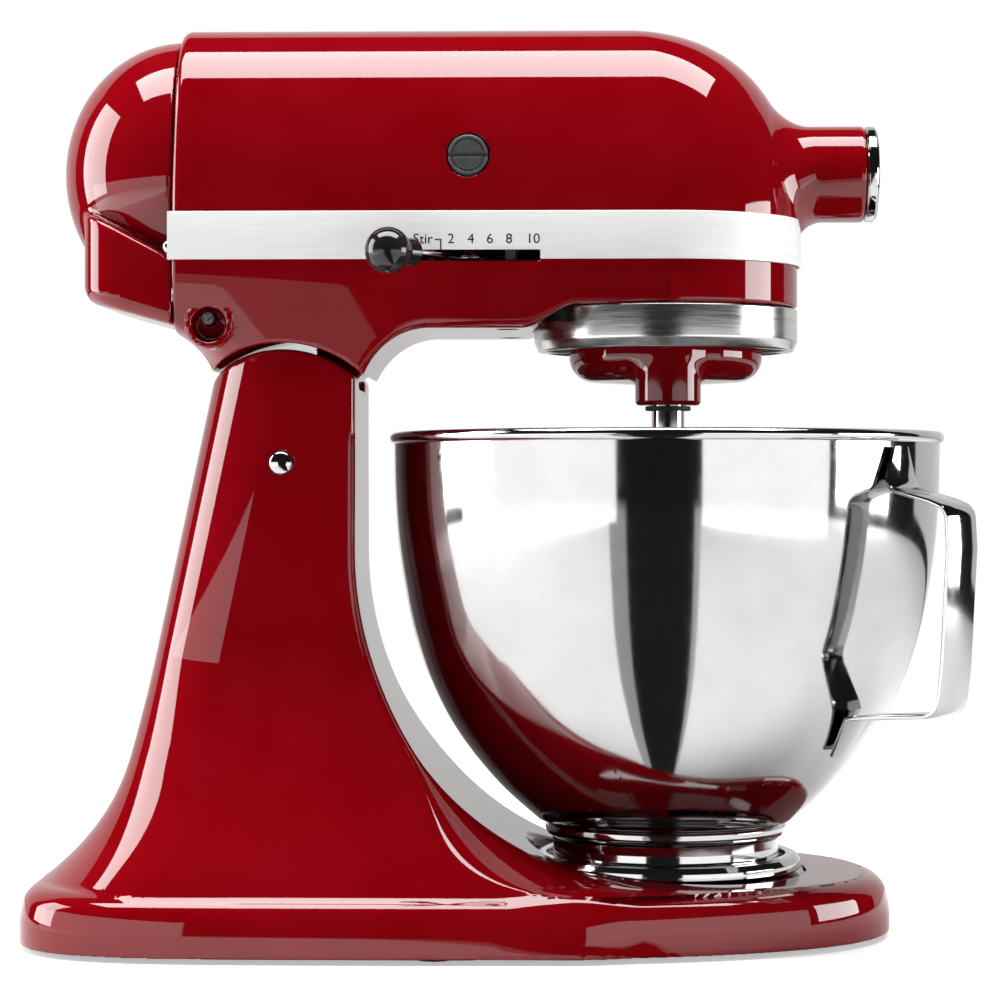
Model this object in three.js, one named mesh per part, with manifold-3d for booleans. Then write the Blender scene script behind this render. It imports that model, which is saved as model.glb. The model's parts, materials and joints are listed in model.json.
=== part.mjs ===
// Tilt-head stand mixer with a polished bowl, in millimetres.
// +X is the way the head points, +Z is up, and the speed lever is on the -Y side.
// The origin is on the floor, under the middle of the whole object.
import * as THREE from "three";
import { mergeVertices } from "three/addons/utils/BufferGeometryUtils.js";
import Module from "manifold-3d";

const wasm = await Module();
wasm.setup();

// ---------------------------------------------------------------- driving dimensions
const GAP = 0.3; // between pieces that touch
const TURN = 2 * Math.PI;

const BOWL_X = 67.8; // the vertical axis of the bowl and of the planetary gear
const HEAD = {
  rear: -121, // seam with the end cover
  half: 51.7, // half width of the castings at the trim band
  front: BOWL_X + 51.7, // the front of the castings is round about the bowl axis
  crownFront: 48, // where the flat top starts to fall to the front
  split: 269.6, // the housing meets the lower case here, behind the trim band
  domeZ: 278, // the front dome is upright below this
  top: 353.8,
  power: 2.4, // roundness of the head's section
  wall: 3.5,
};
const CASE = {
  floor: 235,
  frontFloor: 244.2,
  wall: 4,
  corner: 5,
  rampStart: 12,
  rampEnd: 33,
  neckTop: 250, // full width above this
  neckLow: 208, // as narrow as the column below this
};
const BAND = { low: 260.5, high: 278.7, thick: 1, rear: HEAD.rear - 1.3, fold: 48.6 };
const TRIM_SCREW = { y: -50.4, z: 265.3, headRadius: 2.1, radius: 0.9, hole: 1.1 };
const COVER = { half: 48.2, domeZ: 297, domeHigh: 52.8, domeDeep: 47.6, wall: 3, corner: 16 };
const BOX = { rear: -156.5, high: 281, highFront: 262, low: 245, lowFront: 236 };
const CORD_INLET = { x: -133, z: 254 };
const HUB = { z: 297.5, radius: 18.8, front: 145.5, bore: 13.2, capRadius: 18.5, capThick: 4.3 };
const PIN = { x: -80.2, z: 183.6, radius: 4, headRadius: 4.5 };
const SEAM = { pedestal: 43.6, neck: 45.9 }; // radii of the tilt seam about the hinge pin
const TONGUE = { half: 16, from: 50, to: 75, hub: 12 }; // degrees about the pin
const POCKET = { half: 17.5, from: 47, to: 128, hub: 13.5 };
const COLUMN = { front: -52, rearTop: -112.4, rearTopZ: 201, rearSlope: 0.21, half: 39.5, slope: 0.02 };
const SWEEP = { topZ: 150, reach: 116.5 }; // the column's front runs out under the bowl axis
const FLARE = { topZ: 75, reach: 58.6, power: 2.31 }; // the column's back runs into the foot
const SIDE = { topZ: 110, reach: 47.5 }; // the column's sides spread into the foot
const FOOT = {
  rear: -180.5,
  front: 155,
  half: 92,
  centre: -40,
  rearPower: 4.7,
  frontPower: 2.5,
  low: 2,
  edge: 7, // the rim is upright below this height
  top: 24,
  round: 11, // how far the rim leans in
  deck: 46, // the pedestal stands here
  wall: 4.5,
};
const BOWL = {
  rimZ: 194,
  rimRadius: 107.8,
  bead: 2.2,
  wall: 1.2,
  bottomZ: 43.5,
  footBottom: 27.2,
  neck: 44.6,
};
// The bowl's outer wall, from its bottom corner up: radius and height.
const BOWL_WALL = [
  [50.4, 44.5],
  [66.2, 58.8],
  [81.4, 77.7],
  [91.8, 96.7],
  [98.4, 115.6],
  [102.5, 134.6],
  [105.3, 153.6],
  [106.6, 172.5],
  [107, 191.4],
];
const HANDLE = { angle: -39, width: 20, thick: 1.8 };
const PLATE = { radius: 53, low: 24.3, thick: 2, lip: 31, lipInner: 46.9, lug: 48.4 };
const RING = { outer: 51.7, inner: 49.3, low: 227.5, high: 243.9 };
const GEARS = {
  ring: { teeth: 44, module: 1.875, low: 233.5, high: 243.6 },
  planet: { teeth: 12, module: 1.875, low: 234, high: 242 },
  centre: { teeth: 40, module: 1.8, low: 252, high: 258 },
  pinion: { teeth: 10, module: 1.8, low: 250.5, high: 259.5 },
  crown: { teeth: 24, module: 2.5, face: 8 },
  bevel: { teeth: 14, module: 2.5, face: 8 },
  wheel: { teeth: 20, module: 1.8, low: 296.5, high: 303.5 },
};
const OFFSET = 30; // from the planetary axis to the agitator axis
const MOTOR_Z = 300;
const COMMUTATOR_X = -8.4;
const WORM = { x: 29.7, y: 24, radius: 6, depth: 1.3, pitch: Math.PI * 1.8 };
const HUB_PLATE = { radius: 37.9, low: 215, high: 231, bossRadius: 12.5, bossLow: 205.7 };
const SHAFT = { radius: 6.3, low: 165, high: 243.2, pinZ: 176, pinRadius: 2, pinHalf: 9 };
const LEVER = { x: -8.5, y: 36, z: 261.2, thick: 1.6, knobX: -37.1, knobY: 75, knobRadius: 8.6 };
const SLOT = { rear: -34.5, front: 19, high: 264 };
const SCOOP = { x: -107, z: 236.2, radius: 6.6, inner: 39 };
const CASE_SCREWS = { x: 6.3, y: [-32, 32] };
const LOCK = { angle: 119, high: 61, low: 47.2, radius: 4, pinX: -107.5, pinZ: 238.6 };

// ---------------------------------------------------------------- materials
const paint = (color, roughness, metalness) =>
  new THREE.MeshStandardMaterial({ color, roughness, metalness });
const enamel = paint(0xa00414, 0.12, 0);
const polished = paint(0xdcdcdc, 0.06, 1);
const brushed = paint(0xc4c4c2, 0.3, 1);
const satin = paint(0xe6e6e4, 0.35, 0.9);
const steel = paint(0x9a9a98, 0.35, 1);
const black = paint(0x141416, 0.2, 0);
const grey = paint(0x3c3e40, 0.45, 0);
const rubber = paint(0x26262a, 0.85, 0);
const copper = paint(0xb87040, 0.4, 1);
const nylon = paint(0xe8e2d0, 0.5, 0);
const cast = paint(0xb8babc, 0.5, 0.8);

// ---------------------------------------------------------------- solids
// A closed manifold from a three.js geometry, turned to face out.
function solid(geometry) {
  const bare = geometry.index ? geometry.toNonIndexed() : geometry.clone();
  bare.deleteAttribute("normal");
  bare.deleteAttribute("uv");
  const merged = mergeVertices(bare, 1e-4);
  const vertProperties = new Float32Array(merged.attributes.position.array);
  const triVerts = new Uint32Array(merged.index.array);
  const made = new wasm.Manifold(new wasm.Mesh({ numProp: 3, vertProperties, triVerts }));
  if (made.volume() > 0) return made;
  for (let i = 0; i < triVerts.length; i += 3) {
    [triVerts[i + 1], triVerts[i + 2]] = [triVerts[i + 2], triVerts[i + 1]];
  }
  return new wasm.Manifold(new wasm.Mesh({ numProp: 3, vertProperties, triVerts }));
}

const joined = (...solids) => solids.reduce((sum, next) => sum.add(next));

function geometryOf(made) {
  const { vertProperties, triVerts } = made.getMesh();
  const geometry = new THREE.BufferGeometry();
  geometry.setAttribute("position", new THREE.BufferAttribute(vertProperties, 3));
  geometry.setIndex(new THREE.BufferAttribute(triVerts, 1));
  const flat = geometry.toNonIndexed();
  flat.computeVertexNormals();
  return flat;
}

function node(name, made, material, group) {
  const mesh = new THREE.Mesh(geometryOf(made), material);
  mesh.name = name;
  group.add(mesh);
}

const at = (geometry, x, y, z) => solid(geometry.translate(x, y, z));

const box = (low, high) =>
  at(
    new THREE.BoxGeometry(high[0] - low[0], high[1] - low[1], high[2] - low[2]),
    (low[0] + high[0]) / 2,
    (low[1] + high[1]) / 2,
    (low[2] + high[2]) / 2,
  );

// Round bars along each axis, between two coordinates.
function barZ(radius, low, high, x = 0, y = 0, sides = 16) {
  const bar = new THREE.CylinderGeometry(radius, radius, high - low, sides).rotateX(TURN / 4);
  return at(bar, x, y, (low + high) / 2);
}

function barX(radius, low, high, y, z, sides = 16) {
  const bar = new THREE.CylinderGeometry(radius, radius, high - low, sides).rotateZ(TURN / 4);
  return at(bar, (low + high) / 2, y, z);
}

function barY(radius, low, high, x, z, sides = 16) {
  const bar = new THREE.CylinderGeometry(radius, radius, high - low, sides);
  return at(bar, x, (low + high) / 2, z);
}

// A solid of revolution about Z from a closed outline of radius and height.
function lathe(outline, sides) {
  const points = outline.map(([r, z]) => new THREE.Vector2(r, z));
  points.push(points[0].clone());
  return solid(new THREE.LatheGeometry(points, sides).rotateX(TURN / 4));
}

// A solid of revolution whose outline starts and ends on the axis.
function turned(outline, sides) {
  const points = outline.map(([r, z]) => new THREE.Vector2(r, z));
  return solid(new THREE.LatheGeometry(points, sides).rotateX(TURN / 4));
}

function shapeOf(outline, holes = []) {
  const shape = new THREE.Shape(outline.map(([x, y]) => new THREE.Vector2(x, y)));
  for (const hole of holes) {
    shape.holes.push(new THREE.Path(hole.map(([x, y]) => new THREE.Vector2(x, y))));
  }
  return shape;
}

// A plan outline raised from low to high.
function raised(outline, low, high, holes) {
  const options = { depth: high - low, bevelEnabled: false };
  return at(new THREE.ExtrudeGeometry(shapeOf(outline, holes), options), 0, 0, low);
}

// A side outline of x and z pulled along Y.
function pulled(outline, low, high, holes) {
  const options = { depth: high - low, bevelEnabled: false };
  const flat = new THREE.ExtrudeGeometry(shapeOf(outline, holes), options);
  return at(flat.rotateX(TURN / 4), 0, high, 0);
}

// A closed skin through rings of points, with flat ends.
function loft(rings) {
  const positions = [];
  const push = (...points) => points.forEach((p) => positions.push(p.x, p.y, p.z));
  const sides = rings[0].length;
  for (let r = 0; r + 1 < rings.length; r++) {
    for (let i = 0; i < sides; i++) {
      const j = (i + 1) % sides;
      push(rings[r][i], rings[r][j], rings[r + 1][j]);
      push(rings[r][i], rings[r + 1][j], rings[r + 1][i]);
    }
  }
  const cap = (ring, turn) => {
    const middle = ring.reduce((sum, p) => sum.add(p), new THREE.Vector3()).divideScalar(sides);
    for (let i = 0; i < sides; i++) {
      const j = (i + 1) % sides;
      push(middle, ring[turn ? j : i], ring[turn ? i : j]);
    }
  };
  cap(rings[0], true);
  cap(rings[rings.length - 1], false);
  const geometry = new THREE.BufferGeometry();
  geometry.setAttribute("position", new THREE.Float32BufferAttribute(positions, 3));
  return solid(geometry);
}

const power = (value, exponent) => Math.sign(value) * Math.abs(value) ** exponent;
const circle = (radius, sides, x = 0, y = 0) =>
  Array.from({ length: sides }, (_, i) => [
    x + radius * Math.cos((TURN * i) / sides),
    y + radius * Math.sin((TURN * i) / sides),
  ]);
const clamped = (t) => Math.min(1, Math.max(0, t));
const quarter = (t) => 1 - Math.sqrt(1 - clamped(t) ** 2);
const smooth = (t) => clamped(t) ** 2 * (3 - 2 * clamped(t));

// A level ring with its own roundness at the back and at the front.
function levelRing(z, rear, front, half, centre, rearPower, frontPower, sides) {
  return Array.from({ length: sides }, (_, i) => {
    const c = Math.cos((TURN * i) / sides);
    const s = Math.sin((TURN * i) / sides);
    const exponent = 2 / (c > 0 ? frontPower : rearPower);
    const reach = c > 0 ? front - centre : centre - rear;
    return new THREE.Vector3(centre + reach * power(c, exponent), half * power(s, exponent), z);
  });
}

// A level outline with straight sides and a round front, as the head's castings have.
function bullet(rear, front, half, steps) {
  const outline = [[rear, -half]];
  for (let i = 0; i <= steps; i++) {
    const a = -TURN / 4 + (TURN / 2) * (i / steps);
    outline.push([front - half + half * Math.cos(a), half * Math.sin(a)]);
  }
  outline.push([rear, half]);
  return outline;
}

// A spur gear's outline, or the inside of a ring gear, with generous backlash.
function gearOutline({ teeth, module }, inside = false, phase = 0) {
  const pitch = (teeth * module) / 2;
  const tip = inside ? pitch - 0.7 * module : pitch + 0.7 * module;
  const root = inside ? pitch + 1.1 * module : pitch - 1.1 * module;
  const outline = [];
  for (let i = 0; i < teeth; i++) {
    const corners = [[-0.3, root], [-0.13, tip], [0.13, tip], [0.3, root]];
    for (const [part, radius] of corners) {
      const a = (TURN * (i + phase + part)) / teeth;
      outline.push([radius * Math.cos(a), radius * Math.sin(a)]);
    }
  }
  return outline;
}

// A straight bevel gear about Z: its back face at z = 0, narrowing towards the apex above.
function bevelGear({ teeth, module, face }, apex, phase) {
  const outline = gearOutline({ teeth, module }, false, phase);
  const ring = (z) => {
    const scale = (apex - z) / apex;
    return outline.map(([x, y]) => new THREE.Vector3(x * scale, y * scale, z));
  };
  return loft([ring(0), ring(face)]);
}

// ---------------------------------------------------------------- groups
const mixer = new THREE.Group();
const subGroup = (x, y, z) => {
  const group = new THREE.Group();
  group.position.set(x, y, z);
  mixer.add(group);
  return group;
};
const stand = subGroup(0, 0, 0);
const head = subGroup(0, 0, 0);
const planetary = subGroup(BOWL_X, 0, 0);
const agitator = subGroup(BOWL_X, -OFFSET, 0);
const drive = subGroup(0, 0, 0);
const controls = subGroup(0, 0, 0);
const bowl = subGroup(BOWL_X, 0, 0);

// ---------------------------------------------------------------- foot and pedestal
// The level outline of the column at a height: it sweeps out into the foot.
function columnRing(z, inset, sides) {
  const t = (SWEEP.topZ - z) / (SWEEP.topZ - FOOT.top);
  const front = COLUMN.front + SWEEP.reach * quarter(t);
  const flare = FLARE.reach * Math.max(0, (FLARE.topZ - z) / FLARE.topZ) ** FLARE.power;
  const straight = COLUMN.rearTop - (COLUMN.rearTopZ - z) * COLUMN.rearSlope;
  const rear = Math.max(straight - flare, FOOT.rear + FOOT.round);
  const run = SIDE.reach * smooth((SIDE.topZ - z) / SIDE.topZ);
  const half = COLUMN.half + (SEAM.pedestal + PIN.z - z) * COLUMN.slope + run;
  const blend = clamped((z - FOOT.top) / 70);
  const centre = FOOT.centre + (PIN.x - FOOT.centre) * blend;
  const frontPower = FOOT.frontPower + 2.5 * blend;
  return levelRing(z, rear + inset, front - inset, half - inset, centre, 4, frontPower, sides);
}

function footRing(z, inset, sides) {
  const lean = FOOT.round * quarter((z - FOOT.edge) / (FOOT.top - FOOT.edge)) + inset;
  return levelRing(
    z,
    FOOT.rear + lean,
    FOOT.front - lean,
    FOOT.half - lean,
    FOOT.centre,
    FOOT.rearPower,
    FOOT.frontPower,
    sides,
  );
}

const PEDESTAL = { postRadius: 7, postTop: 74, web: 6 }; // the posts inside that take its bolts
const PEDESTAL_BOLTS = [
  [-125, -26],
  [-125, 26],
  [-66, -36],
  [-66, 36],
];
const RUBBER_FEET = [
  [-146, -60],
  [-146, 60],
  [-20, -74],
  [-20, 74],
  [128, 0],
];
const CLAMP_SCREWS = [60, 180, 300].map((degrees) => {
  const a = (degrees * Math.PI) / 180;
  return [BOWL_X + 30 * Math.cos(a), 30 * Math.sin(a)];
});

function footCasting() {
  const slab = loft([FOOT.low, FOOT.edge, 14, 19, 22.5, FOOT.top].map((z) => footRing(z, 0, 40)));
  const rise = loft([23, 24, 26, 31, 38, FOOT.deck].map((z) => columnRing(z, 0, 32)));
  const hollow = loft([FOOT.low - 1, 12, FOOT.top - FOOT.wall].map((z) => footRing(z, FOOT.wall, 24)));
  const riseHollow = loft([FOOT.top - 8, 27, 40].map((z) => columnRing(z + 3, FOOT.wall + 3, 20)))
    .intersect(box([-200, -90, 0], [BOWL_X - PLATE.radius - 8, 90, 60]));
  let casting = joined(slab, rise).subtract(joined(hollow, riseHollow));
  for (const [x, y] of RUBBER_FEET) casting = casting.add(barZ(8, 8.3, FOOT.top - 3, x, y, 14));
  for (const [x, y] of CLAMP_SCREWS) casting = casting.add(barZ(6, 14, FOOT.top - 3, x, y, 12));
  const land = barZ(PLATE.radius + 2, FOOT.top, FOOT.deck - 8, BOWL_X, 0, 40);
  casting = casting.subtract(land);
  for (const [x, y] of PEDESTAL_BOLTS) casting = casting.subtract(barZ(3.3, 30, FOOT.deck + 1, x, y, 12));
  for (const [x, y] of CLAMP_SCREWS) casting = casting.subtract(barZ(2.3, 10, 30, x, y, 10));
  return casting;
}

function pedestalCasting() {
  const heights = [FOOT.deck + GAP, 52, 61, 73, 88, 108, 132, 160, 232];
  const skin = loft(heights.map((z) => columnRing(z, 0, 32)));
  const hollow = loft([FOOT.deck, 60, 90, 150].map((z) => columnRing(z, 5, 20)));
  let casting = skin.intersect(joined(
    box([-160, -95, FOOT.deck], [60, 95, PIN.z]),
    barY(SEAM.pedestal, -95, 95, PIN.x, PIN.z, 40),
    box([-160, -95, PIN.z - 1], [PIN.x - 26, 95, PIN.z + 34]),
  ));
  const posts = PEDESTAL_BOLTS.map(([x, y]) => {
    const { postRadius, postTop, web } = PEDESTAL;
    const [near, far] = [Math.min(y, 2.4 * y), Math.max(y, 2.4 * y)];
    const rib = box([x - web / 2, near, FOOT.deck], [x + web / 2, far, postTop]);
    return barZ(postRadius, FOOT.deck, postTop, x, y, 12).add(rib);
  });
  casting = casting.subtract(hollow.subtract(joined(...posts)));
  casting = casting.subtract(tonguePocket());
  for (const [x, y] of PEDESTAL_BOLTS) casting = casting.subtract(barZ(3.3, FOOT.deck, 68, x, y, 12));
  casting = casting.subtract(barY(PIN.radius + GAP, -60, 60, PIN.x, PIN.z, 20));
  return casting.subtract(barZ(2.8, 189, 212, -58, 0, 12));
}

// A wedge about the hinge pin between two angles, as an outline of x and z.
function sector(from, to, reach, steps = 8) {
  const outline = [[PIN.x, PIN.z]];
  for (let i = 0; i <= steps; i++) {
    const a = ((from + ((to - from) * i) / steps) * Math.PI) / 180;
    outline.push([PIN.x + reach * Math.cos(a), PIN.z + reach * Math.sin(a)]);
  }
  return outline;
}

function tonguePocket() {
  return joined(
    pulled(sector(POCKET.from, POCKET.to, 60), -POCKET.half, POCKET.half),
    barY(POCKET.hub, -POCKET.half, POCKET.half, PIN.x, PIN.z, 24),
  );
}

function bolt(x, y, low, high, radius, headRadius, headThick) {
  return joined(
    barZ(radius, low, high, x, y, 12),
    barZ(headRadius, low - headThick, low + 0.1, x, y, 6),
  );
}

function standPieces() {
  node("foot_casting", footCasting(), enamel, stand);
  node("pedestal", pedestalCasting(), enamel, stand);
  PEDESTAL_BOLTS.forEach(([x, y], i) => {
    node(`pedestal_bolt_${i + 1}`, bolt(x, y, 39.5, 66, 3, 5.5, 4), steel, stand);
  });
  RUBBER_FEET.forEach(([x, y], i) => {
    const pad = turned([[0, 0], [7.6, 0], [9, 1.4], [9, 6.6], [7.6, 8], [0, 8]], 12);
    node(`rubber_foot_${i + 1}`, pad.translate([x, y, 0]), rubber, stand);
  });
  const grub = barZ(2.5, 190, 206, -58, 0, 12).subtract(barZ(1.2, 203, 207, -58, 0, 6));
  node("height_screw", grub, steel, stand);
  const dome = (side) => {
    const cap = turned([[0, 0], [PIN.headRadius, 0], [4, 0.9], [2.6, 1.6], [0, 2]], 16);
    return cap.rotate([-90 * side, 0, 0]).translate([PIN.x, side * 40.8, PIN.z]);
  };
  const shaft = barY(PIN.radius, -41, 41, PIN.x, PIN.z, 20);
  node("hinge_pin", joined(shaft, dome(1), dome(-1)), polished, stand);
}

// The dished plate that the bowl's foot locks into: a floor, a lip and cut-outs for the lugs.
function clampPlate() {
  const { radius, low, thick, lip, lipInner } = PLATE;
  const outline = [
    [8, low],
    [radius - 1.5, low],
    [radius, low + 1.5],
    [radius - 0.5, low + 4],
    [radius - 2, lip - 0.8],
    [radius - 3.4, lip],
    [lipInner, lip],
    [lipInner, lip - 1.5],
    [radius - 3.6, lip - 1.7],
    [radius - 2.5, low + 3.4],
    [radius - 3.4, low + thick],
    [8, low + thick],
  ];
  let plate = lathe(outline, 32).translate([BOWL_X, 0, 0]);
  for (let i = 0; i < 4; i++) {
    const cut = box([44, -10, lip - 2], [49.2, 10, lip + 1]).rotate([0, 0, 90 * i + 45]);
    plate = plate.subtract(cut.translate([BOWL_X, 0, 0]));
  }
  for (const [x, y] of CLAMP_SCREWS) plate = plate.subtract(barZ(2.3, low - 1, low + 3, x, y, 10));
  return plate;
}

function clampPieces() {
  node("bowl_clamp_plate", clampPlate(), polished, stand);
  CLAMP_SCREWS.forEach(([x, y], i) => {
    const top = PLATE.low + PLATE.thick + GAP;
    const screw = joined(barZ(2, 15, top + 0.2, x, y, 10), barZ(4, top, top + 1.6, x, y, 12));
    const slot = box([x - 3, y - 0.5, top + 1], [x + 3, y + 0.5, 40]);
    node(`clamp_screw_${i + 1}`, screw.subtract(slot), steel, stand);
  });
}

// ---------------------------------------------------------------- head castings
// The housing's level section at an angle up its superelliptic side.
function housingRing(angle, inset, rear, steps) {
  const exponent = 2 / HEAD.power;
  const high = HEAD.top - HEAD.split - inset;
  const z = HEAD.split + high * Math.sin(angle) ** exponent;
  const half = (HEAD.half - inset) * Math.cos(angle) ** exponent;
  const rise = Math.max(0, (z - HEAD.domeZ) / (HEAD.top - HEAD.domeZ - inset));
  const fall = Math.max(0, 1 - rise ** HEAD.power) ** (1 / HEAD.power);
  const front = HEAD.crownFront + (HEAD.front - inset - HEAD.crownFront) * fall;
  return { z, outline: bullet(rear, front, half, steps) };
}

function housingSkin(inset, rear, low, steps) {
  const angles = [0, 9, 18, 27, 36, 45, 54, 63, 72, 79, 84].map((d) => (d * Math.PI) / 180);
  const rings = angles.map((angle) => {
    const { z, outline } = housingRing(angle, inset, rear, steps);
    return outline.map(([x, y]) => new THREE.Vector3(x, y, z));
  });
  rings[0].forEach((p) => p.setZ(low));
  rings[rings.length - 1].forEach((p) => p.setZ(HEAD.top - inset));
  return loft(rings);
}

function motorHousing() {
  const barrel = barX(HUB.radius, 90, HUB.front, 0, HUB.z, 24);
  const skin = joined(housingSkin(0, HEAD.rear, HEAD.split, 12), barrel);
  const hollow = housingSkin(HEAD.wall, HEAD.rear - 2, HEAD.split - 2, 8);
  let housing = skin.subtract(hollow);
  housing = housing.subtract(barX(HUB.bore, 90, 160, 0, HUB.z, 24));
  housing = housing.subtract(barY(8, -60, 60, COMMUTATOR_X, MOTOR_Z, 20));
  return housing.subtract(barY(2.8, 10, 30, 134, HUB.z, 12));
}

// The lower case's half width: it narrows down its neck to the column's width.
function caseHalf(z) {
  const run = smooth((z - CASE.neckLow) / (CASE.neckTop - CASE.neckLow));
  return COLUMN.half + (HEAD.half - COLUMN.half) * run;
}

// The rear block of the lower case: a trough that narrows downwards, with rounded lower edges.
function troughRing(x, floor, inset) {
  const { corner, neckTop } = CASE;
  const top = HEAD.split - GAP + (inset ? 2 : 0);
  const low = caseHalf(floor + corner) - inset - corner;
  const side = (sign) => {
    const down = [
      new THREE.Vector3(x, sign * (HEAD.half - inset), top),
      new THREE.Vector3(x, sign * (HEAD.half - inset), neckTop + inset + 1),
    ];
    for (let i = 0; i <= 3; i++) {
      const a = (TURN / 4) * (i / 3);
      const y = sign * (low + corner * Math.cos(a));
      down.push(new THREE.Vector3(x, y, floor + inset + corner * (1 - Math.sin(a))));
    }
    return sign > 0 ? down : down.reverse();
  };
  return [...side(1), ...side(-1)];
}

function neckRing(z) {
  const front = COLUMN.front + 0.5 + 28 * quarter((z - 216) / 20);
  const rear = -108.5 - 12 * quarter((z - 214) / 22);
  return levelRing(z, rear, front, caseHalf(z), PIN.x, 4, 5, 24);
}

function lowerGearCase() {
  const { floor, frontFloor, wall, rampStart, rampEnd } = CASE;
  const stations = [
    [HEAD.rear, floor + 2],
    [-110, floor],
    [rampStart, floor],
    [(rampStart + rampEnd) / 2, (floor + frontFloor) / 2],
    [rampEnd, frontFloor],
  ];
  const trough = loft(stations.map(([x, z]) => troughRing(x, z, 0)));
  const front = raised(bullet(10, HEAD.front, HEAD.half, 16), frontFloor, HEAD.split - GAP);
  const neck = loft([210, 218, 224, 229, 233, 240].map((z) => neckRing(z)));
  let shell = joined(trough, front, neck);
  const ends = [[HEAD.rear - 2, floor], [26, floor]];
  const troughHollow = loft(ends.map(([x, z]) => troughRing(x, z, wall)));
  const frontHollow = raised(bullet(20, HEAD.front - wall, HEAD.half - wall, 10), frontFloor + wall, 275);
  shell = shell.subtract(joined(troughHollow, frontHollow));
  shell = shell.subtract(barY(SEAM.neck, -95, 95, PIN.x, PIN.z, 40));
  const tongue = pulled(sector(TONGUE.from, TONGUE.to, 50), -TONGUE.half, TONGUE.half);
  const eye = barY(TONGUE.hub, -TONGUE.half, TONGUE.half, PIN.x, PIN.z, 20);
  shell = joined(shell, tongue, eye).subtract(barY(PIN.radius + GAP, -60, 60, PIN.x, PIN.z, 20));
  shell = shell.subtract(barZ(RING.outer + 0.6, 200, frontFloor, BOWL_X, 0, 40));
  shell = shell.subtract(barZ(SHAFT.radius, 240, 260, BOWL_X, 0, 20));
  shell = joined(shell, ...leverStuds(), barZ(6, 247, 250, WORM.x, WORM.y, 12));
  shell = shell.subtract(barZ(3.3, 246, 252, WORM.x, WORM.y, 12));
  shell = shell.subtract(joined(...leverSlots()));
  for (const y of CASE_SCREWS.y) shell = shell.subtract(barZ(3.5, 230, 237.8, CASE_SCREWS.x, y, 12));
  for (const y of CASE_SCREWS.y) shell = shell.subtract(barZ(2.3, 230, 242, CASE_SCREWS.x, y, 12));
  const bosses = scoops(9, 36, 47.8);
  const cuts = joined(scoops(SCOOP.radius, SCOOP.inner, 60), barYPin(), plungerBore());
  return joined(shell, bosses).subtract(cuts);
}

// A round bar along Y on each side, where the lock's cross pin shows in its recess.
const scoops = (radius, near, far) =>
  joined(barY(radius, near, far, SCOOP.x, SCOOP.z, 20), barY(radius, -far, -near, SCOOP.x, SCOOP.z, 20));

const leverStuds = () =>
  [-1, 1].flatMap((side) => [
    barZ(4, 238, LEVER.z - GAP, LEVER.x, side * LEVER.y, 12),
    barZ(2, 238, LEVER.z + 4, LEVER.x, side * LEVER.y, 12),
  ]);

const leverSlots = () =>
  [-1, 1].map((side) => {
    const [low, high] = side < 0 ? [-60, -44] : [44, 60];
    return box([SLOT.rear, low, LEVER.z - 1], [SLOT.front, high, SLOT.high]);
  });

const barYPin = () => barY(2.6, -60, 60, LOCK.pinX, LOCK.pinZ, 12);

// The lock plunger runs towards the hinge pin, behind the tongue.
function plungerAxis(made) {
  return made.rotate([0, 90 - LOCK.angle, 0]).translate([PIN.x, 0, PIN.z]);
}

const plungerBore = () => plungerAxis(barZ(LOCK.radius + GAP, 40, 75, 0, 0, 16));

function endCover() {
  const dome = (inset) => {
    const rings = [];
    for (let i = 0; i <= 7; i++) {
      const a = (TURN / 4) * (i / 7) * 0.97;
      const scale = Math.cos(a);
      const x = HEAD.rear - GAP - (COVER.domeDeep - inset) * Math.sin(a) + (inset && i === 0 ? 2 : 0);
      rings.push(circle(1, 22).map(([u, v]) => new THREE.Vector3(
        x,
        (COVER.half - inset) * scale * u,
        COVER.domeZ + (COVER.domeHigh - inset) * scale * v,
      )));
    }
    return loft(rings);
  };
  const front = HEAD.rear - GAP;
  const side = (inset, open) => [
    [front + open, BOX.lowFront + inset],
    [BOX.rear + 5, BOX.low - 1.2 + inset],
    [BOX.rear + 1.5 + inset, BOX.low + 2 + inset],
    [BOX.rear + inset, BOX.low + 6],
    [BOX.rear + inset, BOX.high - 7],
    [BOX.rear + 2 + inset, BOX.high - 2.5 - inset],
    [BOX.rear + 6 + inset, BOX.high - 1 - inset],
    [front + open, BOX.highFront - inset],
  ];
  const plan = (inset, open) => {
    const { half, corner } = COVER;
    const outline = [[front + open, -half + inset]];
    for (const sign of [-1, 1]) {
      for (let i = 0; i <= 4; i++) {
        const a = (TURN / 4) * (sign < 0 ? 1 - i / 4 : i / 4);
        const y = sign * (half - inset - corner + corner * Math.sin(a));
        outline.push([BOX.rear + inset + corner - corner * Math.cos(a), y]);
      }
    }
    outline.push([front + open, half - inset]);
    return outline;
  };
  const lowBox = (inset, open) =>
    pulled(side(inset, open), -60, 60).intersect(raised(plan(inset, open), 230, 290));
  const skin = joined(dome(0), lowBox(0, 0));
  const cover = skin.subtract(joined(dome(COVER.wall), lowBox(COVER.wall, 2)));
  return cover.subtract(barY(5.3, 30, 60, CORD_INLET.x, CORD_INLET.z, 16));
}

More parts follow.
